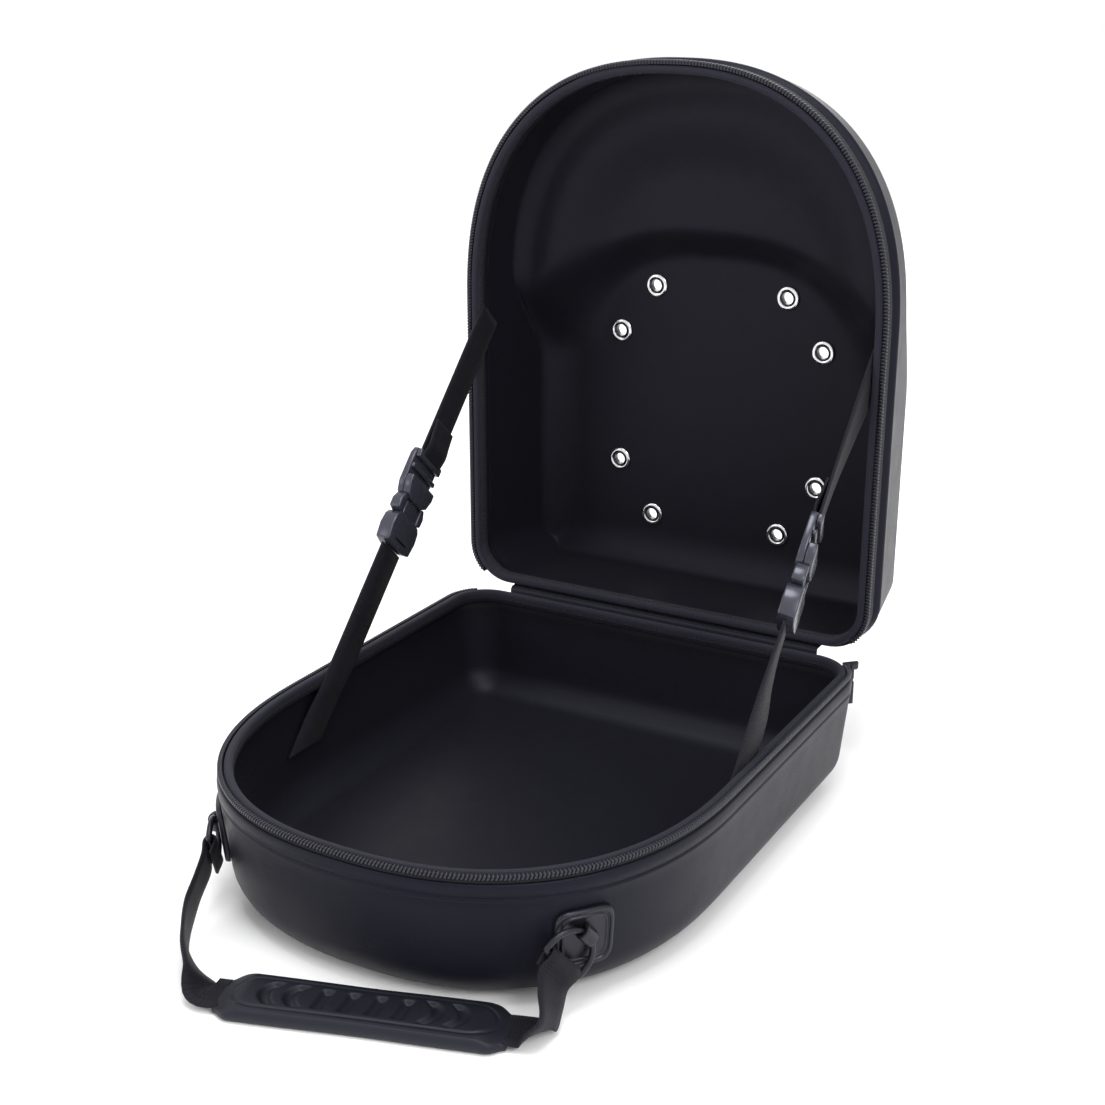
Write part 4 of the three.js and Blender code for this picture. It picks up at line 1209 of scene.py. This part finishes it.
class CapCaseStage(bpy.types.PropertyGroup):
    """Floor, surround, lights and lens."""

    floor: colour("Floor", "Pale studio floor", (0.97, 0.97, 0.97))
    surround: colour("Surround", "Colour of the surround", (1.0, 1.0, 1.0))
    surround_strength: FloatProperty(name="Surround strength", description="Light from all round",
                                     default=1.03)
    key_power: FloatProperty(name="Key", description="Light from the front right", default=22, unit="POWER")
    fill_power: FloatProperty(name="Fill", description="Light from the front left", default=10, unit="POWER")
    top_power: FloatProperty(name="Top", description="Light from above", default=26, unit="POWER")
    back_power: FloatProperty(name="Back", description="Light from behind", default=12, unit="POWER")
    lens: FloatProperty(name="Lens", description="Focal length", default=55.0, min=1.0)
    roll: FloatProperty(name="Roll", description="Turn of the camera about its axis, in degrees", default=0.0)


# Operators

class BuildStep:
    """Runs the functions that build one piece or group."""

    builders = ()

    def execute(self, context):
        for build in self.builders:
            build(Case(context), context)
        return {"FINISHED"}


class CAPCASE_OT_tray(BuildStep, bpy.types.Operator):
    """Build the tray's cloth shell with its lining"""

    bl_idname = "cap_case.tray"
    bl_label = "Tray Shell"
    builders = (tray_shell,)


class CAPCASE_OT_lid(BuildStep, bpy.types.Operator):
    """Build the lid's moulded cloth shell with its holes"""

    bl_idname = "cap_case.lid"
    bl_label = "Lid Shell"
    builders = (lid_shell,)


class CAPCASE_OT_bindings(BuildStep, bpy.types.Operator):
    """Build the rolled bindings inside both rims"""

    bl_idname = "cap_case.bindings"
    bl_label = "Rim Bindings"
    builders = (bindings,)


class CAPCASE_OT_zips(bpy.types.Operator):
    """Build both halves of the zip with its slider and pull"""

    bl_idname = "cap_case.zips"
    bl_label = "Zip"

    def execute(self, context):
        zips(Case(context), context)
        slider(context)
        return {"FINISHED"}


class CAPCASE_OT_vents(BuildStep, bpy.types.Operator):
    """Build the eyelets and the washers inside them"""

    bl_idname = "cap_case.vents"
    bl_label = "Eyelets"
    builders = (vents,)


class CAPCASE_OT_hinge(BuildStep, bpy.types.Operator):
    """Build the cloth hinge strip"""

    bl_idname = "cap_case.hinge"
    bl_label = "Hinge Strip"
    builders = (hinge_cloth,)


class CAPCASE_OT_stays(BuildStep, bpy.types.Operator):
    """Build the stay straps and their side-release buckles"""

    bl_idname = "cap_case.stays"
    bl_label = "Stays"
    builders = (stays,)


class CAPCASE_OT_handle(BuildStep, bpy.types.Operator):
    """Build the carry handle with its patches, rings, webbing and grip"""

    bl_idname = "cap_case.handle"
    bl_label = "Handle"
    builders = (handle,)


class CAPCASE_OT_stage(bpy.types.Operator):
    """Set up the floor, the lights and the camera"""

    bl_idname = "cap_case.stage"
    bl_label = "Stage"

    def execute(self, context):
        stage(context)
        return {"FINISHED"}


OPERATORS = (CAPCASE_OT_tray, CAPCASE_OT_lid, CAPCASE_OT_bindings, CAPCASE_OT_zips, CAPCASE_OT_vents,
             CAPCASE_OT_hinge, CAPCASE_OT_stays, CAPCASE_OT_handle, CAPCASE_OT_stage)


class CAPCASE_PT_panel(bpy.types.Panel):
    """Sizes, colours and the building steps"""

    bl_label = "Cap Carrier Case"
    bl_space_type = "VIEW_3D"
    bl_region_type = "UI"
    bl_category = "Cap Case"

    def draw(self, context):
        for title, group in (("Sizes", "cap_case_sizes"), ("Colours", "cap_case_colours"),
                             ("Stage", "cap_case_stage")):
            box = self.layout.box()
            box.label(text=title)
            values = getattr(context.scene, group)
            for key in values.__annotations__:
                box.prop(values, key)
        for operator in OPERATORS:
            self.layout.operator(operator.bl_idname)


CLASSES = (CapCaseSizes, CapCaseColours, CapCaseStage, *OPERATORS, CAPCASE_PT_panel)


def register():
    for each in CLASSES:
        bpy.utils.register_class(each)
    bpy.types.Scene.cap_case_sizes = PointerProperty(type=CapCaseSizes)
    bpy.types.Scene.cap_case_colours = PointerProperty(type=CapCaseColours)
    bpy.types.Scene.cap_case_stage = PointerProperty(type=CapCaseStage)


def unregister():
    del bpy.types.Scene.cap_case_stage
    del bpy.types.Scene.cap_case_colours
    del bpy.types.Scene.cap_case_sizes
    for each in reversed(CLASSES):
        bpy.utils.unregister_class(each)


def main():
    register()
    for step in ("tray", "lid", "bindings", "zips", "vents", "hinge", "stays", "handle", "stage"):
        getattr(bpy.ops.cap_case, step)()


if __name__ == "__main__":
    main()
